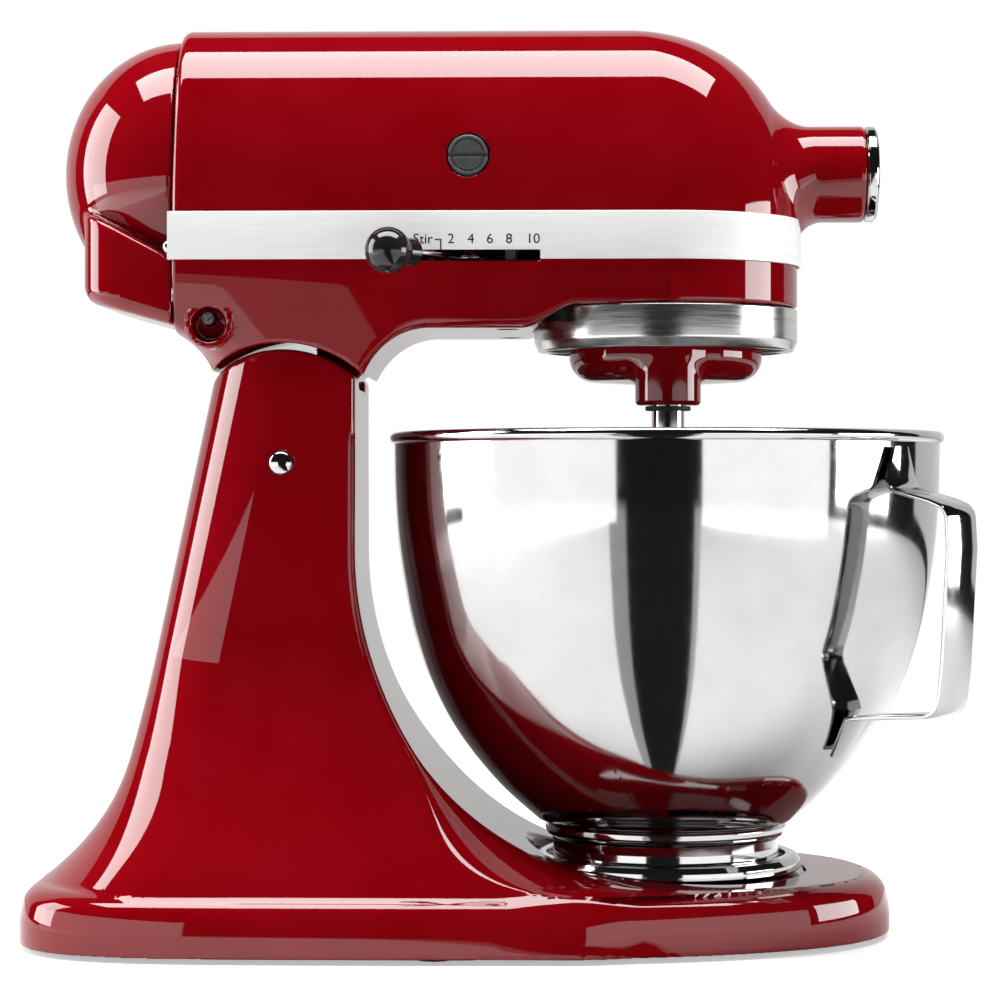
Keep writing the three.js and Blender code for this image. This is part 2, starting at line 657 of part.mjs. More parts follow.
// The metal band round the head, over the split between the castings.
function trimBand() {
  const inner = HEAD.half + GAP;
  const outer = inner + BAND.thick;
  const outline = bullet(BAND.rear, HEAD.front + GAP + BAND.thick, outer, 20);
  const hollow = bullet(BAND.rear - 1, HEAD.front + GAP, inner, 20);
  let band = raised(outline, BAND.low, BAND.high).subtract(raised(hollow, BAND.low - 1, BAND.high + 1));
  for (const side of [-1, 1]) {
    const fold = box([BAND.rear, BAND.fold, BAND.low], [BAND.rear + BAND.thick, outer, BAND.high]);
    band = band.add(side < 0 ? fold.mirror([0, 1, 0]) : fold);
    const [slotLow, slotHigh] = side < 0 ? [-60, -44] : [44, 60];
    band = band.subtract(box([SLOT.rear, slotLow, 259], [SLOT.front, slotHigh, SLOT.high]));
  }
  return band.subtract(trimScrewBar(TRIM_SCREW.hole));
}

const trimScrewBar = (radius) =>
  barX(radius, BAND.rear - 0.5, HEAD.rear + 8, TRIM_SCREW.y, TRIM_SCREW.z, 10);

function trimScrew() {
  const radius = TRIM_SCREW.headRadius;
  const dome = turned([[0, 0], [radius, 0], [radius * 0.8, 0.8], [radius * 0.4, 1.3], [0, 1.4]], 14);
  return dome.rotate([0, -90, 0]).translate([BAND.rear - GAP, TRIM_SCREW.y, TRIM_SCREW.z])
    .add(trimScrewBar(TRIM_SCREW.radius));
}

function headCastings() {
  const screwHole = trimScrewBar(TRIM_SCREW.hole);
  node("motor_housing", motorHousing(), enamel, head);
  node("lower_gear_case", lowerGearCase().subtract(screwHole), enamel, head);
  node("end_cover", endCover(), enamel, head);
  node("trim_band", trimBand(), satin, head);
  node("trim_band_screw", trimScrew(), polished, head);
  node("lock_cross_pin", barY(2.3, -46, 46, LOCK.pinX, LOCK.pinZ, 12)
    .subtract(plungerAxis(barZ(LOCK.radius + 2 * GAP, 40, 75, 0, 0, 16))), steel, head);
  CASE_SCREWS.y.forEach((y, i) => {
    const button = barZ(3.2, 235.8, 237.5, CASE_SCREWS.x, y, 12);
    const made = joined(button, barZ(2, 237, 238.8, CASE_SCREWS.x, y, 10));
    node(`case_screw_${i + 1}`, made, steel, head);
  });
  const inlet = joined(
    barY(5, COVER.half - 6, COVER.half + 1, CORD_INLET.x, CORD_INLET.z, 16),
    barY(7.5, COVER.half + GAP, COVER.half + 4, CORD_INLET.x, CORD_INLET.z, 16),
  ).subtract(barY(3.2, 30, 60, CORD_INLET.x, CORD_INLET.z, 12));
  node("cord_inlet_bush", inlet, rubber, head);
}

// ---------------------------------------------------------------- motor, brushes and brackets
function springCoil(low, high) {
  const turns = 3;
  const steps = turns * 8;
  const points = Array.from({ length: steps + 1 }, (_, i) => {
    const a = (TURN * turns * i) / steps;
    return new THREE.Vector3(2.4 * Math.cos(a), low + ((high - low) * i) / steps, 2.4 * Math.sin(a));
  });
  const wire = shapeOf(circle(0.45, 4));
  const path = new THREE.CatmullRomCurve3(points);
  return solid(new THREE.ExtrudeGeometry(wire, { steps, extrudePath: path, bevelEnabled: false }))
    .translate([COMMUTATOR_X, 0, MOTOR_Z]);
}

function motorPieces() {
  const stator = barX(37, -82, -43, 0, MOTOR_Z, 28).subtract(barX(20.5, -83, -42, 0, MOTOR_Z, 28));
  node("field_stator", stator, copper, head);
  [-1, 1].forEach((side, i) => {
    const brush = box([-3, 10.4, -4], [3, 26, 4]).translate([COMMUTATOR_X, 0, MOTOR_Z]);
    node(`carbon_brush_${i + 1}`, side > 0 ? brush : brush.mirror([0, 1, 0]), rubber, head);
    const coil = springCoil(27.2, 42.8);
    node(`brush_spring_${i + 1}`, side > 0 ? coil : coil.mirror([0, 1, 0]), steel, head);
    const slot = box([-10, 49.6, -0.9], [10, 53, 0.9]).translate([COMMUTATOR_X, 0, MOTOR_Z]);
    const cap = barY(7.5, 43.7, 50.8, COMMUTATOR_X, MOTOR_Z, 24).subtract(slot);
    node(`brush_cap_${i + 1}`, side > 0 ? cap : cap.mirror([0, 1, 0]), grey, head);
  });
  const rearPlate = box([-112, -42, 284], [-108.5, 42, 314]);
  const rearRing = barX(12, -114, -104, 0, MOTOR_Z, 20);
  const rearBracket = joined(rearPlate, rearRing).subtract(barX(4.3, -116, -102, 0, MOTOR_Z, 16));
  node("rear_bearing_bracket", rearBracket, cast, head);
  const bearing = barX(8.7, 3.2, 11.2, 0, MOTOR_Z, 18).subtract(barX(4.3, 3, 12, 0, MOTOR_Z, 14));
  node("front_bearing", bearing, steel, head);
  const wall = box([5.2, -30, CASE.floor + CASE.wall + GAP], [9.2, 32, 318]);
  const shelf = box([5.2, 8, 312.5], [40, 32, 318]);
  const bracket = joined(wall, shelf)
    .subtract(barX(9, 4, 12, 0, MOTOR_Z, 18))
    .subtract(barZ(3.3, 310, 320, WORM.x, WORM.y, 12));
  node("gear_bracket", bracket, cast, head);
  const board = box([-27, -30, 266], [-25, 30, 330]).subtract(barX(9, -30, -20, 0, MOTOR_Z, 16));
  node("governor_plate", board, nylon, head);
}

// The worm's thread is a ridge that winds once round the bar in each pitch.
function wormThread(low, high) {
  const around = 10;
  const along = Math.round(((high - low) / WORM.pitch) * 7);
  const rings = [];
  for (let k = 0; k <= along; k++) {
    const x = low + ((high - low) * k) / along;
    rings.push(Array.from({ length: around }, (_, i) => {
      const a = (TURN * i) / around;
      const phase = (x - WORM.x) / WORM.pitch - i / around;
      const wave = Math.abs(((phase % 1) + 1.5) % 1 - 0.5) * 2;
      const radius = WORM.radius - WORM.depth + 2 * WORM.depth * Math.max(0, wave - 0.45) / 0.55;
      return new THREE.Vector3(x, radius * Math.cos(a), MOTOR_Z + radius * Math.sin(a));
    }));
  }
  return loft(rings);
}

function armature() {
  const core = barX(19.5, -80, -45, 0, MOTOR_Z, 24);
  const windings = barX(15, -88, -37, 0, MOTOR_Z, 16);
  const commutator = barX(10, COMMUTATOR_X - 7, COMMUTATOR_X + 7, 0, MOTOR_Z, 16);
  const shaft = barX(4, -116, 44, 0, MOTOR_Z, 14);
  const fanHub = barX(9, -102, -92, 0, MOTOR_Z, 14);
  const blades = Array.from({ length: 6 }, (_, i) =>
    box([-101, 6, -0.8], [-93, 30, 0.8]).rotate([60 * i, 0, 0]).translate([0, 0, MOTOR_Z]));
  return joined(core, windings, commutator, shaft, fanHub, ...blades, wormThread(20.5, 40));
}

function drivePieces() {
  node("armature", armature(), copper, drive);
  const { wheel, pinion } = GEARS;
  const gear = joined(
    raised(gearOutline(wheel), wheel.low, wheel.high),
    raised(gearOutline(pinion, false, PINION_PHASE), pinion.low, pinion.high),
    barZ(3, 248.6, 317, 0, 0, 14),
    barZ(6, 259, 296.8, 0, 0, 14),
  );
  node("worm_wheel", gear.translate([WORM.x, WORM.y, 0]), nylon, drive);
  const { bevel } = GEARS;
  const apex = (GEARS.crown.teeth * GEARS.crown.module) / 2;
  const cone = bevelGear(bevel, apex, 0.5).rotate([0, -90, 0]).translate([BOWL_X + apex, 0, HUB.z]);
  const socket = box([124, -6.4, HUB.z - 6.4], [150, 6.4, HUB.z + 6.4]);
  const shaft = joined(cone, barX(9, 96, 143.5, 0, HUB.z, 20)).subtract(socket);
  node("hub_drive_shaft", shaft, steel, drive);
  const bush = barX(12.8, 110, 140, 0, HUB.z, 24).subtract(barX(9.35, 109, 141, 0, HUB.z, 24));
  node("hub_bush", bush.subtract(barY(3, 5, 20, 134, HUB.z, 10)), brushed, head);
}

// The pinion is turned so that its teeth fall in the spaces of the centre gear.
const PINION_ANGLE = Math.atan2(-WORM.y, BOWL_X - WORM.x); // from the pinion to the centre gear
const PINION_PHASE = (() => {
  const towards = (PINION_ANGLE / TURN) * GEARS.pinion.teeth;
  const back = ((PINION_ANGLE + TURN / 2) / TURN) * GEARS.centre.teeth;
  return towards - 0.5 + (back - Math.round(back));
})();

// ---------------------------------------------------------------- planetary and agitator
function planetaryPieces() {
  const { radius, low, high, bossRadius, bossLow } = HUB_PLATE;
  const disc = turned([
    [0, low + 1],
    [24, low + 1],
    [radius - 9, low],
    [radius - 4, low + 1.4],
    [radius - 1, low + 4.5],
    [radius, low + 9],
    [radius, high],
    [0, high],
  ], 24);
  const boss = barZ(bossRadius, bossLow, high, 0, -OFFSET, 24);
  const hub = joined(disc, boss)
    .subtract(barZ(SHAFT.radius + GAP, 200, 240, 0, -OFFSET, 20))
    .subtract(barZ(6.3, 222, 240, 0, 0, 20));
  node("planetary_hub", hub, enamel, planetary);
  node("centre_shaft", barZ(6, 222.3, 284, 0, 0, 20), steel, planetary);
  const { centre, crown } = GEARS;
  const crownPitch = (GEARS.bevel.teeth * GEARS.bevel.module) / 2;
  const crownLow = HUB.z - crownPitch;
  const cone = bevelGear(crown, crownPitch, 0).translate([0, 0, crownLow]);
  const gear = joined(
    raised(gearOutline(centre), centre.low, centre.high),
    barZ(12, centre.low, crownLow + 1, 0, 0, 20),
    barZ(22, crownLow - 5, crownLow + 1, 0, 0, 24),
    cone,
  ).subtract(barZ(6.3, 250, 300, 0, 0, 20));
  node("centre_gear", gear, cast, planetary);
}

// The leaf-shaped outline of the flat beater, as half widths at heights.
const BEATER = [[54, 14], [58, 22], [66, 32], [80, 43], [96, 50], [114, 54], [130, 52], [142, 42], [150, 24]];

function flatBeater() {
  const leaf = (inset) => {
    const kept = BEATER.map(([z, half]) => [half - inset, z === 54 ? z + inset : z === 150 ? z - inset : z]);
    return [...kept, ...kept.map(([half, z]) => [-half, z]).reverse()];
  };
  const thick = 5;
  const frame = pulled(leaf(0), -thick, thick).subtract(pulled(leaf(8), -thick - 1, thick + 1));
  const stem = box([-5, -thick, 56], [5, thick, 155]);
  const bars = [78, 102, 126].map((z) => box([-48, -thick, z - 3.5], [48, thick, z + 3.5]));
  const collar = barZ(10.5, 147, 196, 0, 0, 20);
  const insideLeaf = joined(stem, ...bars).intersect(pulled(leaf(3), -20, 20));
  return joined(frame, insideLeaf, collar)
    .subtract(barZ(SHAFT.radius + GAP, SHAFT.low - GAP, 200, 0, 0, 20))
    .subtract(box([-12, -2.6, 172], [12, 2.6, 197]));
}

function agitatorPieces() {
  const { radius, low, high, pinZ, pinRadius, pinHalf } = SHAFT;
  const pin = barX(pinRadius, -pinHalf, pinHalf, 0, pinZ, 10);
  const shaft = joined(barZ(radius, low, 233, 0, 0, 20), barZ(4.5, 232, high, 0, 0, 16), pin);
  node("agitator_shaft", shaft, polished, agitator);
  const pinion = raised(gearOutline(GEARS.planet, false, 0.5), GEARS.planet.low, GEARS.planet.high)
    .subtract(barZ(4.5 + GAP, 230, 250, 0, 0, 16));
  node("planet_pinion", pinion, steel, agitator);
  const washer = barZ(8.5, 203.6, 205.4, 0, 0, 20).subtract(barZ(radius + GAP, 200, 210, 0, 0, 20));
  node("shaft_washer", washer, rubber, agitator);
  node("flat_beater", flatBeater(), satin, agitator);
}

function ringPieces() {
  const { ring } = GEARS;
  const body = raised(circle(48.9, 36), ring.low, ring.high, [gearOutline(ring, true)]);
  node("internal_ring_gear", body.translate([BOWL_X, 0, 0]), cast, head);
  const { outer, inner, low, high } = RING;
  const band = lathe([
    [inner, low + 3],
    [inner - 1.5, low + 1.5],
    [inner - 0.6, low],
    [outer - 1.2, low + 0.3],
    [outer, low + 2],
    [outer, high],
    [inner, high],
  ], 36);
  node("drip_ring", band.translate([BOWL_X, 0, 0]), brushed, head);
}

// ---------------------------------------------------------------- levers, knobs and cap
function lever(side) {
  const { x, y, z, thick, knobX, knobY, knobRadius } = LEVER;
  const angle = Math.atan2(knobY - y, knobX - x);
  const reach = Math.hypot(knobX - x, knobY - y);
  const arm = box([0, -2.6, z], [reach - knobRadius * 0.35, 2.6, z + thick]);
  const stem = barX(2, reach - knobRadius - 6, reach - 2, 0, z + thick / 2, 10);
  let made = joined(arm, stem).rotate([0, 0, (angle * 180) / Math.PI]);
  made = joined(made, barZ(7, z, z + thick, 0, 0, 16)).subtract(barZ(2.3, 200, 300, 0, 0, 12));
  made = made.translate([x, y, 0]);
  return side > 0 ? made : made.mirror([0, 1, 0]);
}

function knob(side) {
  const { x, y, z, thick, knobX, knobY, knobRadius } = LEVER;
  const angle = Math.atan2(knobY - y, knobX - x);
  const ball = new THREE.SphereGeometry(knobRadius, 14, 8).rotateX(TURN / 4);
  const neck = new THREE.CylinderGeometry(4, 6.5, 6, 16).rotateZ(TURN / 4);
  const made = joined(at(ball, 0, 0, 0), at(neck, -knobRadius - 0.5, 0, 0))
    .subtract(joined(barX(2 + GAP, -20, -1.7, 0, 0, 12), box([-20, -2.9, -1.1], [-2.6, 2.9, 1.1])))
    .rotate([0, 0, (angle * 180) / Math.PI])
    .translate([knobX, knobY, z + thick / 2]);
  return side > 0 ? made : made.mirror([0, 1, 0]);
}

function controlPieces() {
  node("speed_lever", lever(-1), polished, controls);
  node("speed_knob", knob(-1), black, controls);
  node("lock_lever", lever(1), polished, controls);
  node("lock_knob", knob(1), black, controls);
  node("lock_plunger", plungerAxis(barZ(LOCK.radius, LOCK.low, LOCK.high, 0, 0, 16)), steel, controls);
  const grips = Array.from({ length: 6 }, (_, i) => {
    const a = (TURN * i) / 6;
    return barY(2.4, 20, 34, 134 + 11.4 * Math.cos(a), HUB.z + 11.4 * Math.sin(a), 10);
  });
  const thumb = barY(10.5, 22, 32, 134, HUB.z, 24).subtract(joined(...grips));
  const shank = barY(2.5, 9.6, 24, 134, HUB.z, 12);
  node("hub_knob", joined(thumb, shank, barY(6, 19.2, 23, 134, HUB.z, 16)), black, controls);
  const { front, capRadius, capThick } = HUB;
  const cap = turned([
    [0, 0],
    [capRadius, 0],
    [capRadius, capThick - 1],
    [capRadius - 1, capThick],
    [12, capThick],
    [11, capThick - 0.8],
    [0, capThick - 0.8],
  ], 28).rotate([0, 90, 0]).translate([front + GAP, 0, HUB.z]);
  node("hub_cap", cap, polished, controls);
}

// ---------------------------------------------------------------- bowl
function bowlShell() {
  const curve = new THREE.SplineCurve(BOWL_WALL.map(([r, z]) => new THREE.Vector2(r, z)));
  const outer = curve.getPoints(9).map((p) => [p.x, p.y]);
  const { rimRadius, rimZ, bead, wall, bottomZ } = BOWL;
  const centreR = rimRadius - 1;
  const rim = [-60, 0, 60, 120, 180].map((degrees) => {
    const a = (degrees * Math.PI) / 180;
    return [centreR + bead * Math.cos(a), rimZ + bead * Math.sin(a)];
  });
  const inner = outer.map(([r, z]) => [r - wall, z + wall * 0.5]).reverse();
  const below = [[0, bottomZ], [44, bottomZ]];
  const above = [[40, bottomZ + wall], [0, bottomZ + wall]];
  return turned([...below, ...outer.slice(0, -1), ...rim, ...inner.slice(1, -1), ...above], 40);
}

function bowlFoot() {
  const { footBottom, neck } = BOWL;
  const outline = [
    [neck - 0.6, footBottom],
    [neck + 0.4, footBottom + 1],
    [neck, 33],
    [neck + 0.2, 38],
    [neck + 2, 41],
    [46, 43.2],
    [42, 43.2],
    [neck - 1.5, 40],
    [neck - 1.5, footBottom],
  ];
  let foot = lathe(outline, 32);
  for (let i = 0; i < 4; i++) {
    const lug = box([neck - 1, -7.5, footBottom + 0.4], [PLATE.lug, 7.5, footBottom + 1.7]);
    foot = foot.add(lug.rotate([0, 0, 90 * i]));
  }
  return foot;
}

// A flat strap bent in an upright plane: bracket, arm, grip, arm, bracket.
function bowlHandle() {
  const { angle, width, thick } = HANDLE;
  const path = [
    [109, 188.5],
    [108.9, 178],
    [110.5, 174.5],
    [114, 172.6],
    [127, 169],
    [132, 166.4],
    [134.6, 161.5],
    [135.3, 150],
    [132.6, 108],
    [131.4, 98],
    [128.8, 92.8],
    [124, 90.9],
    [94, 89.3],
    [90.6, 88.2],
    [81.4, 74.6],
  ];
  const edge = (sign) =>
    path.map(([r, z], i) => {
      const [r0, z0] = path[Math.max(0, i - 1)];
      const [r1, z1] = path[Math.min(path.length - 1, i + 1)];
      const long = Math.hypot(r1 - r0, z1 - z0);
      return [r + (sign * thick * (z1 - z0)) / long / -2, z + (sign * thick * (r1 - r0)) / long / 2];
    });
  const strap = pulled([...edge(1), ...edge(-1).reverse()], -width / 2, width / 2);
  const skin = turned([[0, 30], ...BOWL_WALL.map(([r, z]) => [r + GAP + 0.2, z]), [110, 192], [0, 192]], 40);
  return strap.rotate([0, 0, angle]).subtract(skin);
}

function bowlPieces() {
  node("bowl_shell", bowlShell(), polished, bowl);
  node("bowl_foot", bowlFoot(), polished, bowl);
  node("bowl_handle", bowlHandle(), polished, bowl);
}

standPieces();
clampPieces();
headCastings();
motorPieces();
drivePieces();
planetaryPieces();
agitatorPieces();
ringPieces();
controlPieces();
bowlPieces();

export default mixer;
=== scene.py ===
"""The looks of a tilt-head stand mixer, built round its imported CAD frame.

Lengths are in millimetres until a mesh is made. +X is the way the head points, +Z is up, and the
speed lever is on the -Y side. The enamelled castings are surfaces of distance fields, so that every
corner and fillet is a true round. The steel pieces are turned or swept profiles.
"""

import json
import math

import bpy
import numpy as np
from mathutils import Matrix, Vector


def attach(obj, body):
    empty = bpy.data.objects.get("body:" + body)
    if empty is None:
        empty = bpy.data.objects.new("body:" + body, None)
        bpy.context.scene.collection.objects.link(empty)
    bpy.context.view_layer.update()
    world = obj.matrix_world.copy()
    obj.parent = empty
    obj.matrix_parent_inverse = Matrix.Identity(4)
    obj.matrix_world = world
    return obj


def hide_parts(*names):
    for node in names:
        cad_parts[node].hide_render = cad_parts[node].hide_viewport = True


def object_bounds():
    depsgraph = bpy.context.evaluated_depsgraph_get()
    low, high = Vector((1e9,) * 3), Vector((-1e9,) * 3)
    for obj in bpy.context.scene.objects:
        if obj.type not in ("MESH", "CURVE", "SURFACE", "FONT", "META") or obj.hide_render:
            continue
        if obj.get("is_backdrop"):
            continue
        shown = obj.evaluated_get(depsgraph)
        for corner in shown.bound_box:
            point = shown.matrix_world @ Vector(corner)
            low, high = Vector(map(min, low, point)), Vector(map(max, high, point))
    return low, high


MM = 0.001
TURN = 2 * math.pi

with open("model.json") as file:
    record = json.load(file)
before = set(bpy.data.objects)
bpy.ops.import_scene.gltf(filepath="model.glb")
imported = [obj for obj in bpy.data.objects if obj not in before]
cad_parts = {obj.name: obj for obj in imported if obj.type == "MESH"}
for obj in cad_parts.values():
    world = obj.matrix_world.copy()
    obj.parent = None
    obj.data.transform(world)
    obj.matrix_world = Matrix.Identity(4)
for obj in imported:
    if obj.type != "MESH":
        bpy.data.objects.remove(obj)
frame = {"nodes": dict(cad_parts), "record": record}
CAD_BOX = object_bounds()

# ------------ driving dimensions, as in the CAD
GAP = 0.3  # between pieces that touch
BOWL_X = 67.8  # the upright axis of the bowl and of the planetary gear
AGITATOR = (BOWL_X, -30.0)
BOWL_AXIS = (BOWL_X, 0)

HEAD_REAR = -121.0  # seam with the end cover
HEAD_HALF = 51.7
HEAD_FRONT = BOWL_X + HEAD_HALF
HEAD_SPLIT = 269.6  # the housing meets the lower case here, behind the trim band
HEAD_TOP = 353.8
CROWN_FRONT = 48.0  # where the flat top starts to fall to the front
DOME_Z = 278.0  # the front is upright below this
HEAD_POWER = 2.4  # roundness of the head's section
HEAD_WALL = 3.5

CASE_FLOOR = 235.0
CASE_FRONT_FLOOR = 244.2
CASE_WALL = 4.0
RAMP = (12.0, 33.0)  # the floor rises between these
NECK_REAR = -108.5
NECK_LOW, NECK_HIGH = 206.0, 262.0  # the neck widens from the one height to the other
CASE_SCREW = (6.3, 32)
SCOOP = (-107.0, 236.2)
LOCK_PIN = (-107.5, 238.6)
LOCK_ANGLE = 119

BAND_LOW, BAND_HIGH = 260.5, 278.7
SLOT_REAR, SLOT_FRONT, SLOT_HIGH = -34.5, 19.0, 264.0
LEVER_X, LEVER_Y, LEVER_Z = -8.5, 36.0, 261.2
LEVER_THICK = 1.6
KNOB_X, KNOB_Y, KNOB_RADIUS = -37.1, 75.0, 8.6
COMMUTATOR_X, MOTOR_Z = -8.4, 300.0

HUB_Z = 297.5
HUB_RADIUS = 18.8
HUB_FRONT = 145.5
HUB_BORE = 13.2
HUB_SCREW_X = 134

COVER_Z = 297.0
COVER_HALF, COVER_HIGH, COVER_DEEP = 48.2, 52.8, 47.6
COVER_WALL = 3.0
BOX_REAR = -156.5
CORD_INLET = (-133, 254)

PIN_X, PIN_Z = PIN = (-80.2, 183.6)
PIN_BORE = 4.3
SEAM_PEDESTAL, SEAM_NECK = 43.6, 45.9  # radii of the tilt seam about the hinge pin
POCKET_HALF = 17.5

COLUMN_FRONT = -52.0
COLUMN_HALF, COLUMN_TOP, COLUMN_SLOPE = 39.5, 228.2, 0.02
SWEEP_TOP, SWEEP_REACH = 150.0, 116.5  # the column's front runs out under the bowl axis
BACK_X, BACK_Z, BACK_SLOPE = -112.4, 201.0, 0.21
FLARE_TOP, FLARE_REACH, FLARE_POWER = 75.0, 58.6, 2.31  # the column's back runs into the foot
SIDE_TOP, SIDE_REACH = 110.0, 47.5  # the column's sides spread into the foot

FOOT_REAR, FOOT_FRONT = -180.5, 155.0
FOOT_CENTRE = -40.0  # its widest place
FOOT_HALF = 92.0
FOOT_FRONT_POWER, FOOT_REAR_POWER = 2.5, 4.7
FOOT_LOW, FOOT_TOP = 2.0, 24.0
FOOT_EDGE, FOOT_LEAN = 7.0, 8.0  # the rim is upright below the one and leans in by the other
FOOT_WALL = 5.0
POSTS = ((-146, -60), (-146, 60), (-20, -74), (-20, 74), (128, 0))

RING_OUTER = 51.7
HUB_PLATE_RADIUS = 37.9
HUB_PLATE_TOP = 231


# ------------ distance fields
def union(a, b, r=0.0):
    """Both solids, with a fillet of radius r where they meet."""
    return np.maximum(r, np.minimum(a, b)) - np.hypot(np.maximum(r - a, 0), np.maximum(r - b, 0))


def common(a, b, r=0.0):
    """What both solids share, with its edges rounded to radius r."""
    return -union(-a, -b, r)


def without(a, b, r=0.0):
    """The first solid with the second cut out."""
    return common(a, -b, r)


def even(field, p, step=0.02):
    """A field whose slope varies, brought to about one millimetre in one."""
    f = field(p)
    slope = np.zeros(len(p))
    for axis in range(3):
        q = p.copy()
        q[:, axis] += step
        slope += ((field(q) - f) / step) ** 2
    return f / np.sqrt(np.maximum(slope, 1e-6))


def quarter(t):
    """How far a quarter circle has dropped at t from 0 to 1."""
    return 1 - np.sqrt(1 - np.clip(t, 0, 0.9999) ** 2)


def smooth(t):
    """A step from 0 to 1 that starts and ends level."""
    t = np.clip(t, 0, 1)
    return t * t * (3 - 2 * t)


def bar(p, axis, centre, radius, low, high, r=0.0):
    """A round bar along an axis, between two coordinates."""
    u, v = (p[:, i] for i in range(3) if i != axis)
    radial = np.hypot(u - centre[0], v - centre[1]) - radius
    ends = np.abs(p[:, axis] - (low + high) / 2) - (high - low) / 2
    return common(radial, ends, r)


def block(p, low, high, r=0.0):
    """A box between two corners, with all its edges rounded."""
    low, high = np.array(low, float), np.array(high, float)
    q = np.abs(p - (low + high) / 2) - ((high - low) / 2 - r)
    return np.linalg.norm(np.maximum(q, 0), axis=1) + np.minimum(q.max(axis=1), 0) - r


def bullet(p, inset=0.0):
    """The head's level outline: straight sides and a round front about the bowl axis."""
    return np.hypot(np.maximum(p[:, 0] - BOWL_X, 0), p[:, 1]) - HEAD_HALF + inset


# ------------ surfaces from fields
CORNERS = [(i, j, k) for i in (0, 1) for j in (0, 1) for k in (0, 1)]
EDGES = [
    (a, b) for a in CORNERS for b in CORNERS if a < b and sum(abs(s - t) for s, t in zip(a, b)) == 1
]
COARSE = 4  # the field is looked at first on every fourth point of the grid


def sampled(field, axes):
    """The field on a grid, worked out in full only near the surface."""
    counts = [len(axis) for axis in axes]
    rough_axes = [axis[::COARSE] for axis in axes]
    grid = np.stack(np.meshgrid(*rough_axes, indexing="ij"), -1).reshape(-1, 3)
    rough = field(grid).reshape([len(axis) for axis in rough_axes])
    full = rough
    for axis in range(3):
        full = np.repeat(full, COARSE, axis=axis)
    full = full[: counts[0], : counts[1], : counts[2]].copy()
    cell = axes[0][1] - axes[0][0]
    near = np.argwhere(np.abs(full) < cell * COARSE * 2.2)
    points = np.stack([axes[i][near[:, i]] for i in range(3)], -1)
    full[near[:, 0], near[:, 1], near[:, 2]] = field(points)
    return full


def shifted(values, corner):
    """The values at one corner of every grid cell."""
    return values[tuple(slice(c, values.shape[i] - 1 + c) for i, c in enumerate(corner))]


def crossed_cells(values, inside):
    """The grid cells that the surface runs through, and the mean of its crossings in each."""
    total = sum(shifted(inside, corner).astype(np.int8) for corner in CORNERS)
    cells = np.argwhere((total > 0) & (total < len(CORNERS)))
    place = np.zeros((len(cells), 3))
    count = np.zeros(len(cells))
    for a, b in EDGES:
        va, vb = (values[tuple((cells + np.array(c)).T)] for c in (a, b))
        crossed = (va < 0) != (vb < 0)
        t = np.where(crossed, va / np.where(crossed, va - vb, 1), 0)[:, None]
        place += np.where(crossed[:, None], np.array(a) + t * (np.array(b) - np.array(a)), 0)
        count += crossed
    return cells, cells + place / count[:, None]


def quads_between(inside, cells):
    """One quad for each grid line that crosses the surface, between the four cells round it."""
    index = -np.ones([count - 1 for count in inside.shape], np.int64)
    index[tuple(cells.T)] = np.arange(len(cells))
    faces = []
    for axis in range(3):
        u, v = [i for i in range(3) if i != axis]
        start = tuple(slice(0, -1) if i == axis else slice(1, -1) for i in range(3))
        end = tuple(slice(1, None) if i == axis else slice(1, -1) for i in range(3))
        first, second = inside[start], inside[end]
        crossing = np.argwhere(first != second)
        at = crossing + np.array([0 if i == axis else 1 for i in range(3)])
        around = []
        for du, dv in ((0, 0), (1, 0), (1, 1), (0, 1)):
            q = at.copy()
            q[:, u] -= du
            q[:, v] -= dv
            around.append(index[tuple(q.T)])
        quads = np.stack(around, -1)
        flip = first[tuple(crossing.T)] == (axis == 1)
        quads[flip] = quads[flip][:, ::-1]
        faces.append(quads)
    return np.concatenate(faces)


def quad_mesh(name, points, faces, normals):
    """An object from millimetre points, quads and the normals at the points."""
    mesh = bpy.data.meshes.new(name)
    mesh.vertices.add(len(points))
    mesh.vertices.foreach_set("co", (points * MM).astype(np.float32).ravel())
    mesh.loops.add(4 * len(faces))
    mesh.loops.foreach_set("vertex_index", faces.astype(np.int32).ravel())
    mesh.polygons.add(len(faces))
    mesh.polygons.foreach_set("loop_start", np.arange(0, 4 * len(faces), 4, dtype=np.int32))
    mesh.update(calc_edges=True)
    mesh.validate()
    mesh.shade_smooth()
    mesh.normals_split_custom_set_from_vertices(normals.tolist())
    return linked(name, mesh)


def field_mesh(name, field, low, high, cell):
    """The surface of a field, as a quad mesh that lies on it and takes its normals from it."""
    axes = [np.arange(low[i] - 2 * cell, high[i] + (COARSE + 2) * cell, cell) for i in range(3)]
    axes = [axis[: 1 + (len(axis) - 1) // COARSE * COARSE] for axis in axes]
    values = sampled(field, axes)
    inside = values < 0
    cells, places = crossed_cells(values, inside)
    origin = np.array([axis[0] for axis in axes])
    points, normals = settled(field, origin + places * cell)
    return quad_mesh(name, points, quads_between(inside, cells), normals)


def slope_of(field, p, step=0.03):
    """How fast the field changes along each axis."""
    columns = []
    for axis in range(3):
        shift = np.zeros(3)
        shift[axis] = step
        columns.append((field(p + shift) - field(p - shift)) / (2 * step))
    return np.stack(columns, -1)


def settled(field, points):
    """Points moved along the field's slope onto its surface, and the normals there."""
    for _ in range(3):
        slope = slope_of(field, points)
        square = np.maximum((slope**2).sum(1), 0.05)
        step = (field(points) / square)[:, None] * slope
        reach = np.linalg.norm(step, axis=1, keepdims=True)
        points = points - step * np.minimum(1, 0.5 / np.maximum(reach, 1e-9))
    slope = slope_of(field, points)
    return points, slope / np.maximum(np.linalg.norm(slope, axis=1, keepdims=True), 1e-9)


def linked(name, data):
    """A new object in the scene, with the data given."""
    made = bpy.data.objects.new(name, data)
    bpy.context.scene.collection.objects.link(made)
    return made


